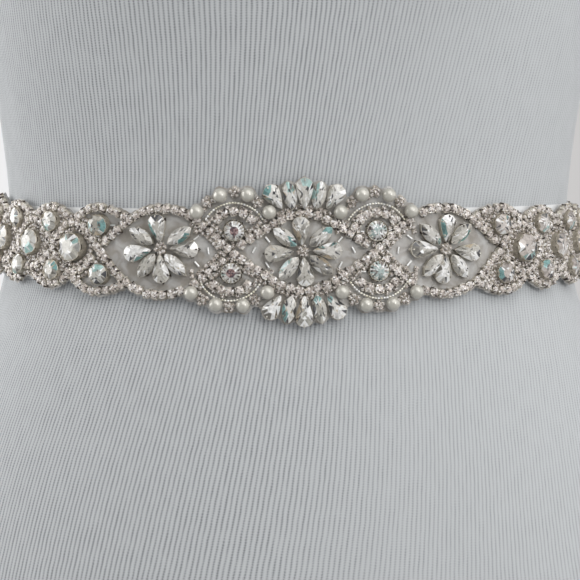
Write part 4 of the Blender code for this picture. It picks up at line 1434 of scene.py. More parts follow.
# --- Organza ---
@dataclass(frozen=True)
class Organza:
    """The sheer backing that the beads are sewn to, cut in five stretches along the beading's outline."""

    surface: FormSurface
    layout: Layout
    beads: Sequence[tuple[float, float, float]]  # s, h and radius of all that is sewn on it
    outer: float = 2.85 * MM
    wall: float = 0.3 * MM
    step: float = 0.6 * MM
    rows: int = 44
    margin: float = 0.6 * MM  # cloth left beyond the beads
    band_margin: float = 1.2 * MM  # cloth left beyond the middle of the chains
    least: float = 2.4 * MM
    soften: float = 0.55 * MM
    ragged: float = 0.14 * MM
    rumple: float = 0.14 * MM
    sink: float = 0.2 * MM
    samples: int = 2001  # places that the cut edge is reckoned at

    def _edge(self, reach: Array, side: int) -> Array:
        """Run the cut edge a little beyond the beads.

        Args:
            reach: Ways round the sash.
            side: 1 for the upper edge, -1 for the lower one.

        Returns:
            Its distances from the middle line.
        """
        middles = [self.layout.weave(s) + side * self.layout.sway(s) for s in reach]
        edge = np.maximum(np.array(middles) + self.band_margin, self.least)
        for s, h, radius in self.beads:
            wide = radius / BED_SHARE + self.margin
            near = np.abs(reach - s) < wide
            edge[near] = np.maximum(edge[near], side * h + np.sqrt(wide**2 - (reach[near] - s) ** 2))
        step = reach[1] - reach[0]
        spread = np.arange(-4, 4 + 1e-9, step / self.soften)
        kernel = np.exp(-(spread**2) / 2)
        padded = np.pad(edge, len(kernel) // 2, mode="edge")
        soft = np.convolve(padded, kernel / kernel.sum(), mode="same")
        soft = soft[len(kernel) // 2 : len(kernel) // 2 + len(edge)]
        nicks = np.sin(reach / (2.1 * MM) + side) + np.sin(reach / (0.83 * MM) + 1.7 * side)
        return soft + self.ragged * nicks

    def _stretch(self, which: Stretch, start: float, end: float, sheer: Material) -> None:
        """Build one stretch, a little rumpled between its stitches and uneven along its hand-cut edge.

        Args:
            which: The stretch.
            start: Where it starts.
            end: Where it ends.
            sheer: Its material.
        """
        columns = round((end - start) / self.step)
        reach = np.linspace(start, end, self.samples)
        above, below = self._edge(reach, 1), self._edge(reach, -1)

        def height(s: Array, v: Array) -> Array:
            """Return the heights at v up the cloth."""
            return -np.interp(s, reach, below) * (1 - v) + np.interp(s, reach, above) * v

        def place(u: Array, v: Array) -> Array:
            """Lay the organza on the ribbon.

            Args:
                u: Ways along it, 0..1.
                v: Ways up, 0..1.

            Returns:
                Points of its face.
            """
            s = start + u * (end - start)
            h = height(s, v)
            along = np.sin(s / (3.4 * MM) + 1.1 * np.sin(h / (4.2 * MM)))
            waves = along * np.cos(h / (3.9 * MM) + s / (11 * MM))
            return self.surface.place(s, h, self.outer - self.sink + self.rumple * waves)

        def uv(u: Array, v: Array) -> Array:
            """Return the cloth's UV, in metres."""
            s = start + u * (end - start)
            return np.stack([s, height(s, v)], axis=1)

        cloth = mapped_cloth(columns, self.rows, place, uv, self.wall)
        piece = add_piece(
            f"organza_{which.value}", cloth, sheer, Slot.BEADED, 50.0, [f"applique_{which.value}"]
        )

    def build(self) -> None:
        """Build the five stretches."""
        sheer = OrganzaFinish().build()
        for which, span in self.layout.spans().items():
            self._stretch(which, *span, sheer)


# --- Stones ---
@dataclass(frozen=True)
class StonePattern:
    """A cut stone and its setting, in a unit size: half length, half width and rise are 1."""

    cut: Cut
    sides: int = 16
    girdle: float = 0.66  # height of the widest line
    foot: tuple[float, float] = (0.86, 0.14)  # width and height of its lower edge
    crown_inset: float = 0.97  # of the way from the girdle to the table
    star_inset: float = 0.48  # of the table's width
    bulge: float = 0.06  # how far the crown swells
    ring_edges: tuple[float, ...] = (0.30, 0.56, 0.74, 0.88)  # widths between the rings of facets
    ring_twist: float = 0.2  # radians that each ring's facets are turned on
    table: float = 0.50  # width of the flat top
    fine: bool = True  # the crown's kites and the table's star are cut too
    sectors: int = 8  # groups that its facets' tints fall into, round it
    claws: tuple[float, ...] = (0.0, 58.0, 122.0, 180.0, 238.0, 302.0)
    claw_width: float = 0.13
    claw_top: float = 0.90
    claw_foot: float = 1.0  # how far out a claw starts
    claw_tip: float = 0.86  # how far out it ends
    claw_taper: float = 0.45
    crown: float = 1.12  # how far out the sawtooth wall starts
    lip: float = 1.05  # how far the cup's rim stands out
    flange: float = 0.0  # half width of the square plate under the cup
    teeth: int = 0
    shade_slots: float = 0.0  # degrees each way that the painted shade in the cup's two sides reaches
    shade_band: tuple[float, float] = (0.70, 0.90)  # heights of that painted shade, as shares of the girdle's
    cup_foot: float = 0.94
    plate_height: float = 0.30
    plate_wall: float = 0.42
    claw_low: float = 0.12
    crown_notch: float = 0.8  # height of the notches between the teeth, as a share of the girdle's
    crown_lean: tuple[float, float] = (0.93, 1.04)  # how far in the teeth lean, and how far out the notches
    crown_wall: float = 0.05

    def _outline(self, shape: BMesh) -> None:
        """Bring a turned shape to the stone's outline."""
        for vert in shape.verts:
            radius = math.hypot(vert.co.x, vert.co.y)
            if radius > 1e-5:
                angle = math.atan2(vert.co.y, vert.co.x)
                vert.co.y = radius * self.cut.breadth(angle)

    def stone(self) -> Mesh:
        """Return the stone: sloping crown facets, a table and a tapered foot."""
        gem = bmesh.new()
        bmesh.ops.create_cone(
            gem, cap_ends=True, segments=self.sides, radius1=self.foot[0], radius2=1.0, depth=1.0
        )
        top = max(gem.faces, key=lambda face: face.calc_center_median().z)
        crown = bmesh.ops.inset_region(
            gem, faces=[top], thickness=(1 - self.table) * self.crown_inset
        )["faces"]
        inner = []
        if self.fine:
            inner = bmesh.ops.inset_region(gem, faces=[top], thickness=self.table * self.star_inset)["faces"]
            bmesh.ops.triangulate(gem, faces=crown)
        bmesh.ops.poke(gem, faces=[top])
        bmesh.ops.triangulate(gem, faces=inner)
        for vert in gem.verts:
            radius = math.hypot(vert.co.x, vert.co.y)
            if vert.co.z < 0:
                vert.co.z = self.foot[1]
                continue
            share = min(max((1 - radius) / (1 - self.table), 0.0), 1.0)
            bulge = self.bulge * math.sin(math.pi * share) if self.fine else 0.0
            vert.co.z = self.girdle + (1 - self.girdle) * share + bulge
        facet = gem.faces.layers.int.new(FACET_LAYER)
        per = 2 * math.pi / self.sectors
        for face in gem.faces:
            middle = face.calc_center_median()
            radius = math.hypot(middle.x, middle.y)
            ring = int(np.searchsorted(self.ring_edges, radius))
            turn = math.atan2(middle.y, middle.x) + 2 * math.pi + self.ring_twist * ring
            sector = int(turn / per) % self.sectors
            face[facet] = ring * self.sectors + sector
        self._outline(gem)
        return as_mesh(gem)

    def setting(self) -> Mesh:
        """Return the metal cup under the stone, with claws or teeth that hold it."""
        cup = bmesh.new()
        sizes = {"radius1": self.cup_foot, "radius2": self.lip, "depth": self.girdle}
        bmesh.ops.create_cone(cup, cap_ends=True, segments=self.sides, **sizes)
        bmesh.ops.translate(cup, vec=(0, 0, self.girdle / 2), verts=cup.verts)
        dark = cup.faces.layers.int.new(FACET_LAYER)
        if self.shade_slots:
            walls = [edge for edge in cup.edges if abs(edge.verts[0].co.z - edge.verts[1].co.z) > 0.1]
            bmesh.ops.subdivide_edges(cup, edges=walls, cuts=5, use_grid_fill=True)
            for face in cup.faces:
                middle = face.calc_center_median()
                turn = abs(math.degrees(math.atan2(middle.y, middle.x)))
                low, high = (share * self.girdle for share in self.shade_band)
                slot = min(turn, 180 - turn) < self.shade_slots and low < middle.z < high
                wall = abs(face.normal.z) < 0.5
                # painted shade on the wall's faces in the slots, painted light on the rest of the wall
                face[dark] = 1 if wall and slot else 3 * wall
        if self.flange:
            plate = bmesh.ops.create_cube(cup, size=1.0)["verts"]
            bmesh.ops.scale(cup, vec=(2 * self.flange, 2 * self.flange, self.plate_wall), verts=plate)
            bmesh.ops.translate(cup, vec=(0, 0, self.plate_height), verts=plate)
            for face in {face for vert in plate for face in vert.link_faces}:
                face[dark] = 2
        for index, degrees in enumerate(self.claws):
            self._claw(cup, math.radians(degrees), dark, len(CUP_TINTS_LIGHT_AND_SHADE) + index)
        self._outline(cup)
        if self.teeth:
            self._crown(cup)
        return as_mesh(cup)

    def _claw(self, cup: BMesh, angle: float, group: bmesh.types.BMLayerItem, number: int) -> None:
        """Add one claw that leans over the stone's edge, as a facet group of its own.

        Args:
            cup: The setting.
            angle: Where it stands, in radians.
            group: The layer of facet groups.
            number: Its own group.
        """
        sizes = {"radius1": self.claw_width, "radius2": self.claw_width * self.claw_taper, "depth": 1.0}
        made = bmesh.ops.create_cone(cup, cap_ends=True, segments=4, **sizes)["verts"]
        for vert in made:
            high = vert.co.z > 0
            vert.co.z = self.claw_top if high else self.claw_low
            vert.co.x += self.claw_tip if high else self.claw_foot
        bmesh.ops.rotate(cup, verts=made, cent=(0, 0, 0), matrix=Matrix.Rotation(angle, 3, "Z"))
        for face in {face for vert in made for face in vert.link_faces}:
            face[group] = number

    def _crown(self, cup: BMesh) -> None:
        """Add the sawtooth wall of a crown setting: every other point of its rim stands up.

        Args:
            cup: The setting.
        """
        made = bmesh.ops.create_circle(
            cup, cap_ends=False, segments=2 * self.teeth, radius=self.crown
        )["verts"]
        edges = list({edge for vert in made for edge in vert.link_edges})
        raised = bmesh.ops.extrude_edge_only(cup, edges=edges)["geom"]
        rim = [item for item in raised if isinstance(item, bmesh.types.BMVert)]
        for vert in rim:
            index = round(math.atan2(vert.co.y, vert.co.x) / (math.pi / self.teeth))
            high = index % 2 == 0
            vert.co.z = self.claw_top if high else self.girdle * self.crown_notch
            vert.co.xy *= self.crown_lean[0 if high else 1]
        walls = [item for item in raised if isinstance(item, bmesh.types.BMFace)]
        # the teeth's walls take a tall cup's painted light
        painted_light_wall = cup.faces.layers.int[FACET_LAYER]
        for face in walls:
            face[painted_light_wall] = 3
        bmesh.ops.solidify(cup, geom=walls, thickness=self.crown_wall)


@dataclass
class Spot:
    """One stone or bead on the organza."""

    s: float
    h: float
    angle: float = 0.0
    half_length: float = 1.0 * MM
    half_width: float = 1.0 * MM
    rise: float = 1.6 * MM
    lift: float = 0.0
    tilt: tuple[float, float] = (0.0, 0.0)


class Bed:
    """What is already laid, so that the next stones find free places."""

    def __init__(self) -> None:
        """Start with nothing laid."""
        self.rows: list[tuple[float, float, float]] = []

    def take(self, spot: Spot) -> None:
        """Mark the ground that a stone covers, as a few discs along it.

        Args:
            spot: The stone.
        """
        reach = max(spot.half_length - spot.half_width, 0.0)
        for share in (-1.0, 0.0, 1.0) if reach else (0.0,):
            away = share * reach * 0.8
            s, h = spot.s + away * math.cos(spot.angle), spot.h + away * math.sin(spot.angle)
            self.rows.append((s, h, spot.half_width * BED_SHARE))

    def free(self, spot: Spot, overlap: float = 0.80) -> bool:
        """Test whether a round stone fits.

        Args:
            spot: The stone.
            overlap: Share of the two half widths that it has to keep off.

        Returns:
            Whether it fits.
        """
        if not self.rows:
            return True
        laid = np.array(self.rows)
        away = np.hypot(laid[:, 0] - spot.s, laid[:, 1] - spot.h)
        return bool((away > (laid[:, 2] + spot.half_width) * overlap).all())


def stations(line: Array, pitch: float, aside: float = 0.0) -> list[tuple[float, float, float]]:
    """Space places evenly along a line.

    Args:
        line: Points (s, h) of the line, finely spaced.
        pitch: About how far apart the places are.
        aside: How far to the line's left they lie.

    Returns:
        The places as (s, h, direction).
    """
    tangent = np.gradient(line, axis=0)
    tangent /= np.linalg.norm(tangent, axis=1)[:, None]
    line = line + np.stack([-tangent[:, 1], tangent[:, 0]], axis=1) * aside
    steps = np.linalg.norm(np.diff(line, axis=0), axis=1)
    run = np.concatenate([[0.0], np.cumsum(steps)])
    count = max(1, round(run[-1] / pitch))
    marks = (np.arange(count) + 0.5) * run[-1] / count
    places = [np.interp(marks, run, line[:, axis]) for axis in (0, 1)]
    heading = np.interp(marks, run, np.unwrap(np.arctan2(tangent[:, 1], tangent[:, 0])))
    return list(zip(*places, heading))


def around(middle: tuple[float, float], radius: float, degrees: float, side: int) -> tuple[float, float]:
    """Return a point on a circle, by its angle from straight up (side 1) or straight down (side -1)."""
    angle = math.radians(degrees)
    return middle[0] + radius * math.sin(angle), middle[1] + side * radius * math.cos(angle)


@dataclass
class Beading:
    """Every stone, pearl and bead of the trim, laid out on the organza and built in its stretches."""

    surface: FormSurface
    layout: Layout
    seat: float = 2.8 * MM
    petal_length: float = 12.0 * MM
    pear_width: float = 7.2 * MM
    marquise_width: float = 5.9 * MM
    petal_rise: float = 4.6 * MM
    petal_reach: float = 8.7 * MM
    petal_wider: float = 1.5 * MM
    fan_rise: float = 4.2 * MM
    rose_radius: float = 4.1 * MM
    rose_rise: float = 4.0 * MM
    rose_h: float = 8.6 * MM
    pair_radius: float = 4.5 * MM
    pair_rise: float = 4.8 * MM
    pair_h: float = 10.6 * MM
    round_radius: float = 5.6 * MM
    round_rise: float = 5.6 * MM
    pearl_radius: float = 3.0 * MM
    chain_radius: float = 1.98 * MM  # the centre's chain of cupped stones
    chain_pitch: float = 4.0 * MM
    band_radius: float = 1.84 * MM  # the chains of the flowers and the end runs
    band_pitch: float = 3.6 * MM
    scallop_radius: float = 1.72 * MM
    scallop_pitch: float = 3.35 * MM
    small_rise: float = 1.75 * MM  # of a small stone of 1 mm radius
    filler: float = 0.95 * MM
    filler_pitch: float = 2.05 * MM
    filler_rise: float = 1.7 * MM
    lobe_arc: float = 10.2 * MM
    lobe_sweep: float = 80.0
    lobe_fillers: tuple[float, float] = (1.9 * MM, 6.6 * MM)  # how far outside the chain their two arcs lie
    lobe_filler_sweep: float = 88.0
    lobe_filler_pitch: float = 2.1 * MM
    lobe_share: float = 0.4  # of a lobe's shift that its pearls and rosettes follow
    seed_arc: float = 13.9 * MM
    seed_sweep: float = 62.0
    seed_pitch: float = 1.25 * MM
    seed_sizes: tuple[float, ...] = (0.62 * MM, 0.5 * MM, 0.5 * MM, 0.9 * MM)  # halves, rise and lift
    rosette_stone: float = 0.9 * MM
    heart_rosette: tuple[float, int, float] = (1.8 * MM, 6, 1.2 * MM)  # ring's radius, stones in it, and lift
    lobe_rosette: tuple[float, int, float] = (1.6 * MM, 5, 0.3 * MM)
    rosette_rises: tuple[float, float] = (1.9 * MM, 1.7 * MM)  # middle and ring
    rosette_step: float = 0.3 * MM  # how much higher the middle stone sits
    bugle_radius: float = 0.42 * MM
    bugle_lift: float = 0.3 * MM
    heart_bugle: tuple[float, float] = (6.7 * MM, 2.7 * MM)  # how far beside the sawtooth round, and length
    pair_bugle: tuple[float, float] = (6.4 * MM, 2.4 * MM)  # how far before the pair of rounds, and length
    loose_bugle: float = 2.8 * MM
    round_sizes: tuple[float, float] = (1.06, 0.96)  # the first frame's round and the others, of round_radius
    pair_size: float = 0.96  # of pair_radius
    scallop_inset: float = 2.3 * MM
    flower_fillers: float = 16.0 * MM  # how far from the centre's crossing the fillers run on
    ground_pitch: float = 1.0 * MM
    ground_inset: float = 2.0 * MM
    ground_starts: tuple[float, float] = (14.0 * MM, -12.0 * MM)  # past the flowers' crossing, right and left
    chaton_from: float = 1.25 * MM
    leans: tuple[float, float, float] = (12.0, 3.0, 4.0)  # most degrees: small, sawtooth rounds, others
    small_turn: float = 0.4  # radians each way
    small_scale: tuple[float, float] = (0.93, 1.05)
    small_lift: tuple[float, float] = (-0.1, 0.15)  # millimetres
    big: dict[Cut, list[Spot]] = field(default_factory=lambda: {cut: [] for cut in Cut})
    fans: dict[Cut, list[Spot]] = field(default_factory=lambda: {cut: [] for cut in Cut})
    roses: list[Spot] = field(default_factory=list)
    small: list[Spot] = field(default_factory=list)
    pearls: list[Spot] = field(default_factory=list)
    seeds: list[Spot] = field(default_factory=list)
    bugles: list[Spot] = field(default_factory=list)
    bed: Bed = field(default_factory=Bed)

    # Laying out
    def _lay(self, group: list[Spot], spot: Spot, check: bool = False) -> None:
        """Lay one stone, unless it has to fit and doesn't.

        Args:
            group: The stones of its kind.
            spot: Where it goes.
            check: Whether it has to fit.
        """
        spot.h += self.layout.sway(spot.s)
        if check and not self.bed.free(spot):
            return
        group.append(spot)
        self.bed.take(spot)

    def _lay_flowers(self) -> None:
        """Lay the three flowers and the small rosettes at their hearts."""
        for which, middle_s, middle_h in FLOWERS:
            for petal in PETALS:
                angle = math.radians(getattr(petal, which))
                reach = self.petal_reach + self.petal_wider * math.cos(angle) ** 2
                width = self.pear_width if petal.cut is Cut.PEAR else self.marquise_width
                spot = Spot(
                    middle_s * MM + reach * math.cos(angle), middle_h * MM + reach * math.sin(angle), angle,
                    self.petal_length / 2, width / 2, self.petal_rise,
                )
                self._lay(self.big[petal.cut], spot)
            self._rosette(middle_s * MM, middle_h * MM, *self.heart_rosette)

    def _rosette(self, s: float, h: float, radius: float, count: int, lift: float) -> None:
        """Lay a small cluster: one stone in the middle and a ring of others.

        Args:
            s: Way round the sash.
            h: Height over its middle line.
            radius: The ring's radius.
            count: Stones in the ring.
            lift: How far it sits over the organza.
        """
        size, (heart, petal) = self.rosette_stone, self.rosette_rises
        self._lay(self.small, Spot(s, h, 0.0, size, size, heart, lift + self.rosette_step))
        for k in range(count):
            angle = 2 * math.pi * (k + 0.25) / count
            ring = Spot(
                s + radius * math.cos(angle), h + radius * math.sin(angle), angle, size, size, petal, lift
            )
            self._lay(self.small, ring)

    def _lay_fans(self) -> None:
        """Lay the fans over and under the centre flower."""
        for side in (1, -1):
            for row in FAN_STONES:
                width = self.pear_width if row.cut is Cut.PEAR else self.marquise_width
                angle = side * math.radians(90 - row.lean)
                sizes = (row.length / 2 * MM, width / 2, self.fan_rise)
                self._lay(self.fans[row.cut], Spot(row.s * MM, side * row.h * MM, angle, *sizes))

    def _lay_lobes(self) -> None:
        """Lay the four lobes beside the centre: sawtooth rounds, pearls, rosettes, seed and tube beads."""
        for lobe, side, aside, upward in LOBES:
            middle = self.layout.lobe_middle(lobe, side, aside, upward)
            size = self.rose_radius
            heart = middle[1] + side * (self.rose_h - self.layout.lobe_h)
            self._lay(self.roses, Spot(middle[0], heart, 0.0, size, size, self.rose_rise))
            size, shift = self.pearl_radius, self.lobe_share * aside * MM
            for s, h in PEARLS[side]:
                self._lay(self.pearls, Spot(lobe * s * MM + shift, side * h * MM, 0.0, size, size, size))
            for s, h in ROSETTES[side]:
                self._rosette(lobe * s * MM + shift, side * h * MM, *self.lobe_rosette)
            for s, h, heading in stations(
                self._arc(middle, self.seed_arc, self.seed_sweep, side), self.seed_pitch
            ):
                self.seeds.append(Spot(s, h, heading, *self.seed_sizes))
            away, length = self.heart_bugle
            for step in (-1, 1):
                self._bugle(middle[0] + step * away, heart + 0.3 * step * MM, 4.0 * step, length)

    def _lay_arcs(self) -> None:
        """Lay the chain of cupped stones that arches over the sawtooth round of each lobe."""
        for lobe, side, aside, upward in LOBES:
            middle = self.layout.lobe_middle(lobe, side, aside, upward)
            self._row(
                self._arc(middle, self.lobe_arc, self.lobe_sweep, side), self.chain_radius, self.chain_pitch
            )
            for outside in self.lobe_fillers:
                line = self._arc(middle, self.lobe_arc + outside, self.lobe_filler_sweep, side)
                self._row(line, self.filler, self.lobe_filler_pitch)

    @staticmethod
    def _arc(middle: tuple[float, float], radius: float, sweep: float, side: int) -> Array:
        """Return points along part of a circle round a lobe's middle."""
        return np.array([around(middle, radius, degrees, side) for degrees in np.linspace(-sweep, sweep, 61)])

    def _row(self, line: Array, size: float, pitch: float, aside: float = 0.0) -> None:
        """Lay a row of small stones along a line, where they fit."""
        for s, h, heading in stations(line, pitch, aside):
            self._lay(
                self.small, Spot(s, h, heading, size, size, self.small_rise * (size / MM) ** 0.5), check=True
            )

    def _bugle(self, s: float, h: float, degrees: float, length: float) -> None:
        """Lay one short tube bead."""
        h += self.layout.sway(s)
        radius = self.bugle_radius
        self.bugles.append(Spot(s, h, math.radians(degrees), length / 2, radius, radius, self.bugle_lift))

    def _lay_ends(self) -> None:
        """Lay the end runs' rounds: one in each frame, and one over and under each crossing."""
        layout = self.layout
        for lobe in (-1, 1):
            for k in range(layout.end_frames):
                crossing = layout.flower_crossing + k * layout.end_pitch
                size = self.round_radius * self.round_sizes[1 if k else 0]
                spot = Spot(
                    lobe * (crossing + layout.end_pitch / 2), 0.0, 0.2 * k, size, size, self.round_rise
                )
                self._lay(self.big[Cut.ROUND], spot)
                for side in (-1, 1):
                    size = self.pair_radius * self.pair_size
                    nudge = UNDER_NUDGES[k] * MM if (lobe, side) == (-1, -1) else 0.0
                    spot = Spot(
                        lobe * crossing + nudge, side * self.pair_h, 0.3 * k, size, size, self.pair_rise
                    )
                    self._lay(self.big[Cut.ROUND], spot)
                    self._bugle(
                        lobe * (crossing - self.pair_bugle[0]), side * self.pair_h, 0.0, self.pair_bugle[1]
                    )

    def _lay_weave(self) -> None:
        """Lay the two bands that weave along the whole trim, and the scallops along the end runs."""
        layout = self.layout
        stops = [0.0, *layout.crossings]
        for index, (start, end) in enumerate(zip(stops, stops[1:])):
            reach = np.linspace(start, end, 81)
            size = self.chain_radius if index == 0 else self.band_radius
            pitch = self.chain_pitch if index == 0 else self.band_pitch
            for lobe, side in QUARTERS:
                self._row(np.array([(lobe * s, side * layout.weave(s)) for s in reach]), size, pitch)
        for k in range(layout.end_frames):
            crossing = layout.flower_crossing + k * layout.end_pitch
            lead = layout.end_pitch / 2 if k else layout.scallop_lead
            reach = np.linspace(crossing - lead, crossing + layout.end_pitch / 2, 61)[1:-1]
            for lobe, side in QUARTERS:
                line = np.array([(lobe * s, side * (layout.scallop(s) - self.scallop_inset)) for s in reach])
                self._row(line, self.scallop_radius, self.scallop_pitch)

    def _lay_fillers(self) -> None:
        """Lay the small stones that fill what is left beside the chains."""
        layout = self.layout
        stops = [0.0, *layout.crossings]
        for index, (start, end) in enumerate(zip(stops, stops[1:])):
            near = self.flower_fillers if index == 1 else end - start
            reach = np.linspace(start, start + near, 81)
            asides = (-2.75,) if index == 0 else (2.7, -2.7)
            for lobe, side in QUARTERS:
                line = np.array([(lobe * s, side * layout.weave(s)) for s in reach])
                for aside in asides:
                    self._row(line, self.filler, self.filler_pitch, -lobe * side * aside * MM)

    def _lay_grounds(self) -> None:
        """Fill the end runs' frames with small stones, in rows, wherever there is room."""
        layout = self.layout
        first, last, size = layout.crossings[1], layout.crossings[-1], self.filler
        for lobe, past in zip((-1, 1), self.ground_starts):
            for s in np.arange(first + past, last, self.ground_pitch):
                top = max(layout.weave(s), layout.scallop(s) - self.ground_inset)
                heights = np.arange(-top, top, self.ground_pitch)
                for h in heights[np.abs(heights) > (layout.weave(s) if s < first else 0.0)]:
                    spot = Spot(lobe * s, h, 0.7 * s, size, size, self.filler_rise)
                    self._lay(self.small, spot, check=True)

    def _lay_bugles(self) -> None:
        """Lay the tube beads that stand loose round the flowers."""
        for lobe in (-1, 1):
            for s, h, degrees in LOOSE_BUGLES:
                self._bugle(lobe * s * MM, h * MM, lobe * degrees, self.loose_bugle)

    # Building
    def _matrix(self, spot: Spot, lowest: float = 0.0) -> Matrix:
        """Return the matrix that brings a unit pattern to its place and size."""
        seat = self.surface.seat(spot.s, spot.h, self.seat + spot.lift + lowest)
        leaning = Matrix.Rotation(spot.tilt[0], 4, "X") @ Matrix.Rotation(spot.tilt[1], 4, "Y")
        size = Matrix.Diagonal((spot.half_length, spot.half_width, spot.rise, 1.0))
        return seat @ leaning @ Matrix.Rotation(spot.angle, 4, "Z") @ size

    def _sorted(self, spots: Sequence[Spot]) -> dict[Stretch, list[Spot]]:
        """Return the spots by the stretch that they lie on, leaving out the stretches without any."""
        found: dict[Stretch, list[Spot]] = {}
        for spot in spots:
            found.setdefault(self.layout.stretch(spot.s), []).append(spot)
        return found

    def _facets(self, mesh: Mesh, count: int) -> Array:
        """Return the facet group of each face of one pattern out of count copies."""
        values = np.zeros(len(mesh.polygons), dtype=int)
        mesh.attributes[FACET_LAYER].data.foreach_get("value", values)
        return values[: len(values) // count]

    def _stones(
        self,
        name: str,
        spots: Sequence[Spot],
        pattern: StonePattern,
        glass: Material,
        metal: Material,
        sparkle: Sparkle,
        rng: Rng,
    ) -> None:
        """Build the stones of one pattern and their settings, a piece each for every stretch.

        Args:
            name: What the stones are called in their pieces' names.
            spots: Their places.
            pattern: The pattern that they share.
            glass: The stones' material.
            metal: The settings' material.
            sparkle: The facets' painted reflections, glints and shade.
            rng: The seeded generator.
        """
        stone, setting = pattern.stone(), pattern.setting()
        for which, rows in self._sorted(spots).items():
            seats = [self._matrix(spot) for spot in rows]
            piece = add_piece(f"{name}_{which.value}", scatter(stone, seats), glass, Slot.BEADED, None)
            groups = self._facets(piece.data, len(rows))
            add_tints(piece, sparkle.draw(rng, len(rows))[:, groups].reshape(-1, 3))
            cups = add_piece(
                f"{name}_settings_{which.value}", scatter(setting, seats), metal, Slot.BEADED, 30.0
            )
            # the cups' painted shade and light, and the claws' painted glints and shade
            shades = np.empty((len(rows), len(CUP_TINTS_LIGHT_AND_SHADE) + len(pattern.claws), 3))
            shades[:, : len(CUP_TINTS_LIGHT_AND_SHADE)] = CUP_TINTS_LIGHT_AND_SHADE
            shades[:, len(CUP_TINTS_LIGHT_AND_SHADE) :] = CLAW_GLINTS_AND_SHADE.draw(rng, (len(rows), len(pattern.claws)))
            add_tints(cups, shades[:, self._facets(cups.data, len(rows))].reshape(-1, 3))
        for mesh in (stone, setting):
            bpy.data.meshes.remove(mesh)

    def _beads(
        self, name: str, spots: Sequence[Spot], shape: BMesh, finish: Material, tints: Tints | None, rng: Rng
    ) -> None:
        """Build beads of one shape, a piece for every stretch, each bead in its own tint.

        Args:
            name: What the beads are called in their pieces' names.
            spots: Their places.
            shape: Their shape, which is freed.
            finish: Their material.
            tints: Their colours, if they differ.
            rng: The seeded generator.
        """
        proto = as_mesh(shape)
        faces = len(proto.polygons)
        for which, rows in self._sorted(spots).items():
            seats = [self._matrix(spot, spot.rise) for spot in rows]
            piece = add_piece(f"{name}_{which.value}", scatter(proto, seats), finish, Slot.BEADED, 60.0)
            if tints:
                add_tints(piece, np.repeat(tints.draw(rng, (len(rows),)), faces, axis=0))
        bpy.data.meshes.remove(proto)

    def lay(self) -> None:
        """Lay the beading out, each stone leaning and turned a little its own way."""
        self._lay_flowers()
        self._lay_fans()
        self._lay_lobes()
        self._lay_ends()
        self._lay_weave()
        self._lay_arcs()
        self._lay_fillers()
        self._lay_grounds()
        self._lay_bugles()
        rng = np.random.default_rng(SEED)
        stones = [*self.big.values(), *self.fans.values()]
        small, rose, other = self.leans
        for spots, most in ((self.small, small), (self.roses, rose), *((row, other) for row in stones)):
            for spot in spots:
                spot.tilt = tuple(np.radians(rng.uniform(-most, most, 2)))
                if spots is self.small:
                    spot.angle += rng.uniform(-self.small_turn, self.small_turn)
                    scale = rng.uniform(*self.small_scale)
                    spot.half_length, spot.half_width = spot.half_length * scale, spot.half_width * scale
                    spot.lift += rng.uniform(*self.small_lift) * MM

    def build(self) -> None:
        """Build what is laid."""
        rng = np.random.default_rng(SEED + 1)
        crystal = FacetFinish("foiled_crystal", 0.09, 0.14, 0.3).build()
        strass = FacetFinish("small_rhinestone", 0.10, 0.22, 0.3).build()
        bead = FacetFinish("lined_bead", 0.5, 0.18, 0.6).build()
        silver = MetalFinish().build()
        for cut, word in ((Cut.PEAR, "pears"), (Cut.MARQUISE, "marquises")):
            pattern = StonePattern(cut, girdle=0.64, sectors=16, lip=1.02)
            self._stones(word, self.big[cut], pattern, crystal, silver, CRYSTAL_SPARKLE, rng)
            self._stones(f"fan_{word}", self.fans[cut], pattern, crystal, silver, FAN_SPARKLE, rng)
        turned = StonePattern(
            Cut.ROUND, girdle=0.76, sectors=16, lip=1.02, claws=(), shade_slots=34.0, teeth=11, crown=1.05,
        )
        for word, lobe, sparkle in (("rounds", -1, ROUND_SPARKLE), ("busy_rounds", 1, BUSY_SPARKLE)):
            spots = [spot for spot in self.big[Cut.ROUND] if spot.s * lobe > 0]
            self._stones(word, spots, turned, crystal, silver, sparkle, rng)
        rose = StonePattern(
            Cut.ROUND, sides=20, sectors=20, table=0.44, claws=tuple(22.5 * k for k in range(16)),
            claw_width=0.16, claw_top=0.95, claw_foot=1.06, claw_tip=0.80, teeth=16,
        )
        hearts = [spot for spot in self.roses if spot.s < 0]
        self._stones("sawtooth_rounds_dark", hearts, rose, crystal, silver, ROSE_SPARKLE, rng)
        clear = [spot for spot in self.roses if spot.s > 0]
        self._stones("sawtooth_rounds_clear", clear, rose, crystal, silver, CLEAR_ROSE_SPARKLE, rng)
        corners = (45.0, 135.0, 225.0, 315.0)
        chaton = StonePattern(
            Cut.ROUND, sides=12, sectors=12, table=0.46, claws=corners, claw_width=0.20, claw_top=1.04,
            claw_foot=1.18, claw_tip=1.02, claw_taper=0.85, flange=0.86, girdle=0.74,
        )
        wide = [spot for spot in self.small if spot.half_width > self.chaton_from]
        self._stones("chatons", wide, chaton, strass, silver, RHINESTONE_SPARKLE, rng)
        chip = StonePattern(
            Cut.ROUND, sides=8, sectors=12, fine=False, claws=corners, claw_width=0.16, flange=0.9
        )
        fine = [spot for spot in self.small if spot.half_width <= self.chaton_from]
        self._stones("rhinestones", fine, chip, strass, silver, replace(RHINESTONE_SPARKLE, glints=16), rng)

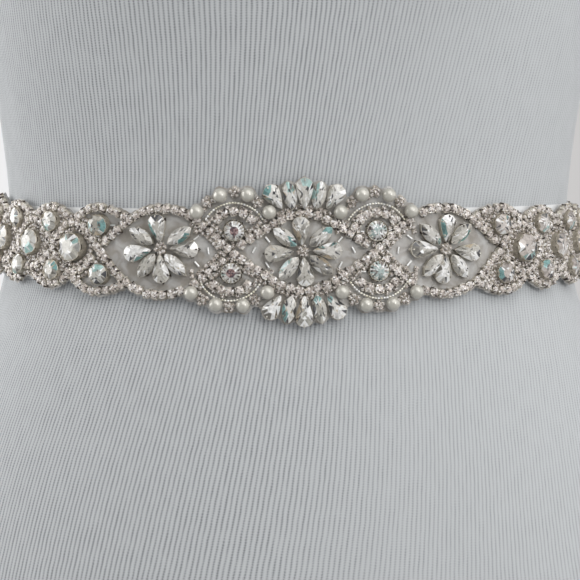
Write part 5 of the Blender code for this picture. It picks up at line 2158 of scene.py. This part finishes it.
        pearl = bmesh.new()
        bmesh.ops.create_uvsphere(pearl, u_segments=32, v_segments=20, radius=1.0)
        self._beads("pearls", self.pearls, pearl, PearlFinish().build(), None, rng)
        seed = bmesh.new()
        bmesh.ops.create_uvsphere(seed, u_segments=8, v_segments=6, radius=1.0)
        self._beads("seed_beads", self.seeds, seed, bead, BEAD_TINTS, rng)
        tube = bmesh.new()
        bmesh.ops.create_cone(tube, cap_ends=True, segments=8, radius1=1.0, radius2=1.0, depth=2.0)
        bmesh.ops.rotate(tube, verts=tube.verts, cent=(0, 0, 0), matrix=Matrix.Rotation(math.pi / 2, 3, "Y"))
        self._beads("bugle_beads", self.bugles, tube, bead, BUGLE_TINTS, rng)


# --- Studio ---
@dataclass(frozen=True)
class Lamp:
    """One soft box: where it hangs, how wide it is, how strong it shines and its colour."""

    name: str
    spot: tuple[float, float, float]
    size: float
    power: float
    colour: Colour = (1.0, 1.0, 1.0)


@dataclass(frozen=True)
class Studio:
    """Camera, floor, surrounding light and soft boxes."""

    eye: tuple[float, float, float] = (-0.0609, -0.8979, 0.310)
    turn_degrees: float = 3.88
    down_degrees: float = 4.68
    lens: float = 119.6
    sensor: float = 36.0
    shift_x: float = 0.0022
    aim: tuple[float, float, float] = (0.0, 0.0, 0.27)
    lamps: tuple[Lamp, ...] = (
        Lamp("key_box", (0.70, -1.15, 0.60), 0.34, 4.0),
        Lamp("overhead_box", (0.30, -1.10, 1.50), 1.7, 21.0),
        Lamp("left_side_box", (-1.60, 0.32, 0.30), 2.0, 50.0),
        Lamp("right_side_box", (1.60, -0.30, 0.45), 2.4, 18.0),
    )
    room: Colour = (0.39, 0.392, 0.40)
    window_side: Colour = (0.87, 0.87, 0.88)
    far_side: Colour = (0.60, 0.59, 0.585)
    wall_edges: tuple[float, float] = (0.46, 0.60)  # across the room, where the one ends and the other starts
    clip: tuple[float, float] = (0.05, 20.0)
    floor_radius: float = 2.0
    floor_drop: float = 0.2 * MM

    def _camera(self) -> None:
        """Add the camera and make it the scene's."""
        data = bpy.data.cameras.new("camera")
        data.lens, data.sensor_width, data.shift_x = self.lens, self.sensor, self.shift_x
        data.clip_start, data.clip_end = self.clip
        camera = bpy.data.objects.new("camera", data)
        turn, down = math.radians(self.turn_degrees), math.radians(self.down_degrees)
        ahead = Vector((math.sin(turn) * math.cos(down), math.cos(turn) * math.cos(down), -math.sin(down)))
        camera.location = self.eye
        camera.rotation_euler = ahead.to_track_quat("-Z", "Y").to_euler()
        bpy.context.scene.collection.objects.link(camera)
        bpy.context.scene.camera = camera

    def _lights(self) -> None:
        """Add the soft boxes, aimed at the sash."""
        for lamp in self.lamps:
            data = bpy.data.lights.new(lamp.name, "AREA")
            data.size, data.energy, data.color = lamp.size, lamp.power, lamp.colour
            light = bpy.data.objects.new(lamp.name, data)
            light.location = lamp.spot
            ahead = Vector(self.aim) - Vector(lamp.spot)
            light.rotation_euler = ahead.to_track_quat("-Z", "Y").to_euler()
            bpy.context.scene.collection.objects.link(light)

    def _world(self) -> None:
        """Fill the room with even light, and show a paler wall on the window's side."""
        world = bpy.data.worlds.new("studio_air")
        world.use_nodes = True
        graph = Graph(world.node_tree)
        split = graph.node(
            "ShaderNodeSeparateXYZ", Vector=graph.node("ShaderNodeTexCoord").outputs["Generated"]
        )
        ramp = graph.node("ShaderNodeValToRGB", Fac=graph.span(split.outputs["X"], 0.0, 1.0, start=-1.0))
        for stop, place, colour in zip(
            ramp.color_ramp.elements, self.wall_edges, (self.window_side, self.far_side)
        ):
            stop.position, stop.color = place, (*colour, 1.0)
        seen = graph.node("ShaderNodeLightPath").outputs["Is Camera Ray"]
        graph.feed(
            graph.mix(seen, self.room, ramp.outputs[0]), graph.tree.nodes["Background"].inputs["Color"]
        )
        bpy.context.scene.world = world

    def _floor(self) -> None:
        """Add the pale floor, which isn't part of the object."""
        disc = bmesh.new()
        bmesh.ops.create_circle(disc, cap_ends=True, segments=96, radius=self.floor_radius)
        bmesh.ops.translate(disc, vec=(0, 0, -self.floor_drop), verts=disc.verts)
        mesh = bpy.data.meshes.new("studio_floor")
        disc.to_mesh(mesh)
        disc.free()
        mesh.materials.append(FloorFinish().build())
        floor = bpy.data.objects.new("studio_floor", mesh)
        bpy.context.scene.collection.objects.link(floor)

    def build(self) -> None:
        """Set the studio up."""
        bpy.context.scene.view_settings.view_transform = "Standard"
        self._camera()
        self._lights()
        self._world()
        self._floor()


def main() -> None:
    """Build the studio and every piece."""
    logging.basicConfig(level=logging.INFO, format="%(message)s")
    surface, layout = FormSurface(FormShape()), Layout()
    Studio().build()
    DressForm(surface).build()
    Ribbon(surface).build()
    beading = Beading(surface, layout)
    beading.lay()
    Organza(surface, layout, beading.bed.rows).build()
    beading.build()


if __name__ == "__main__":
    main()
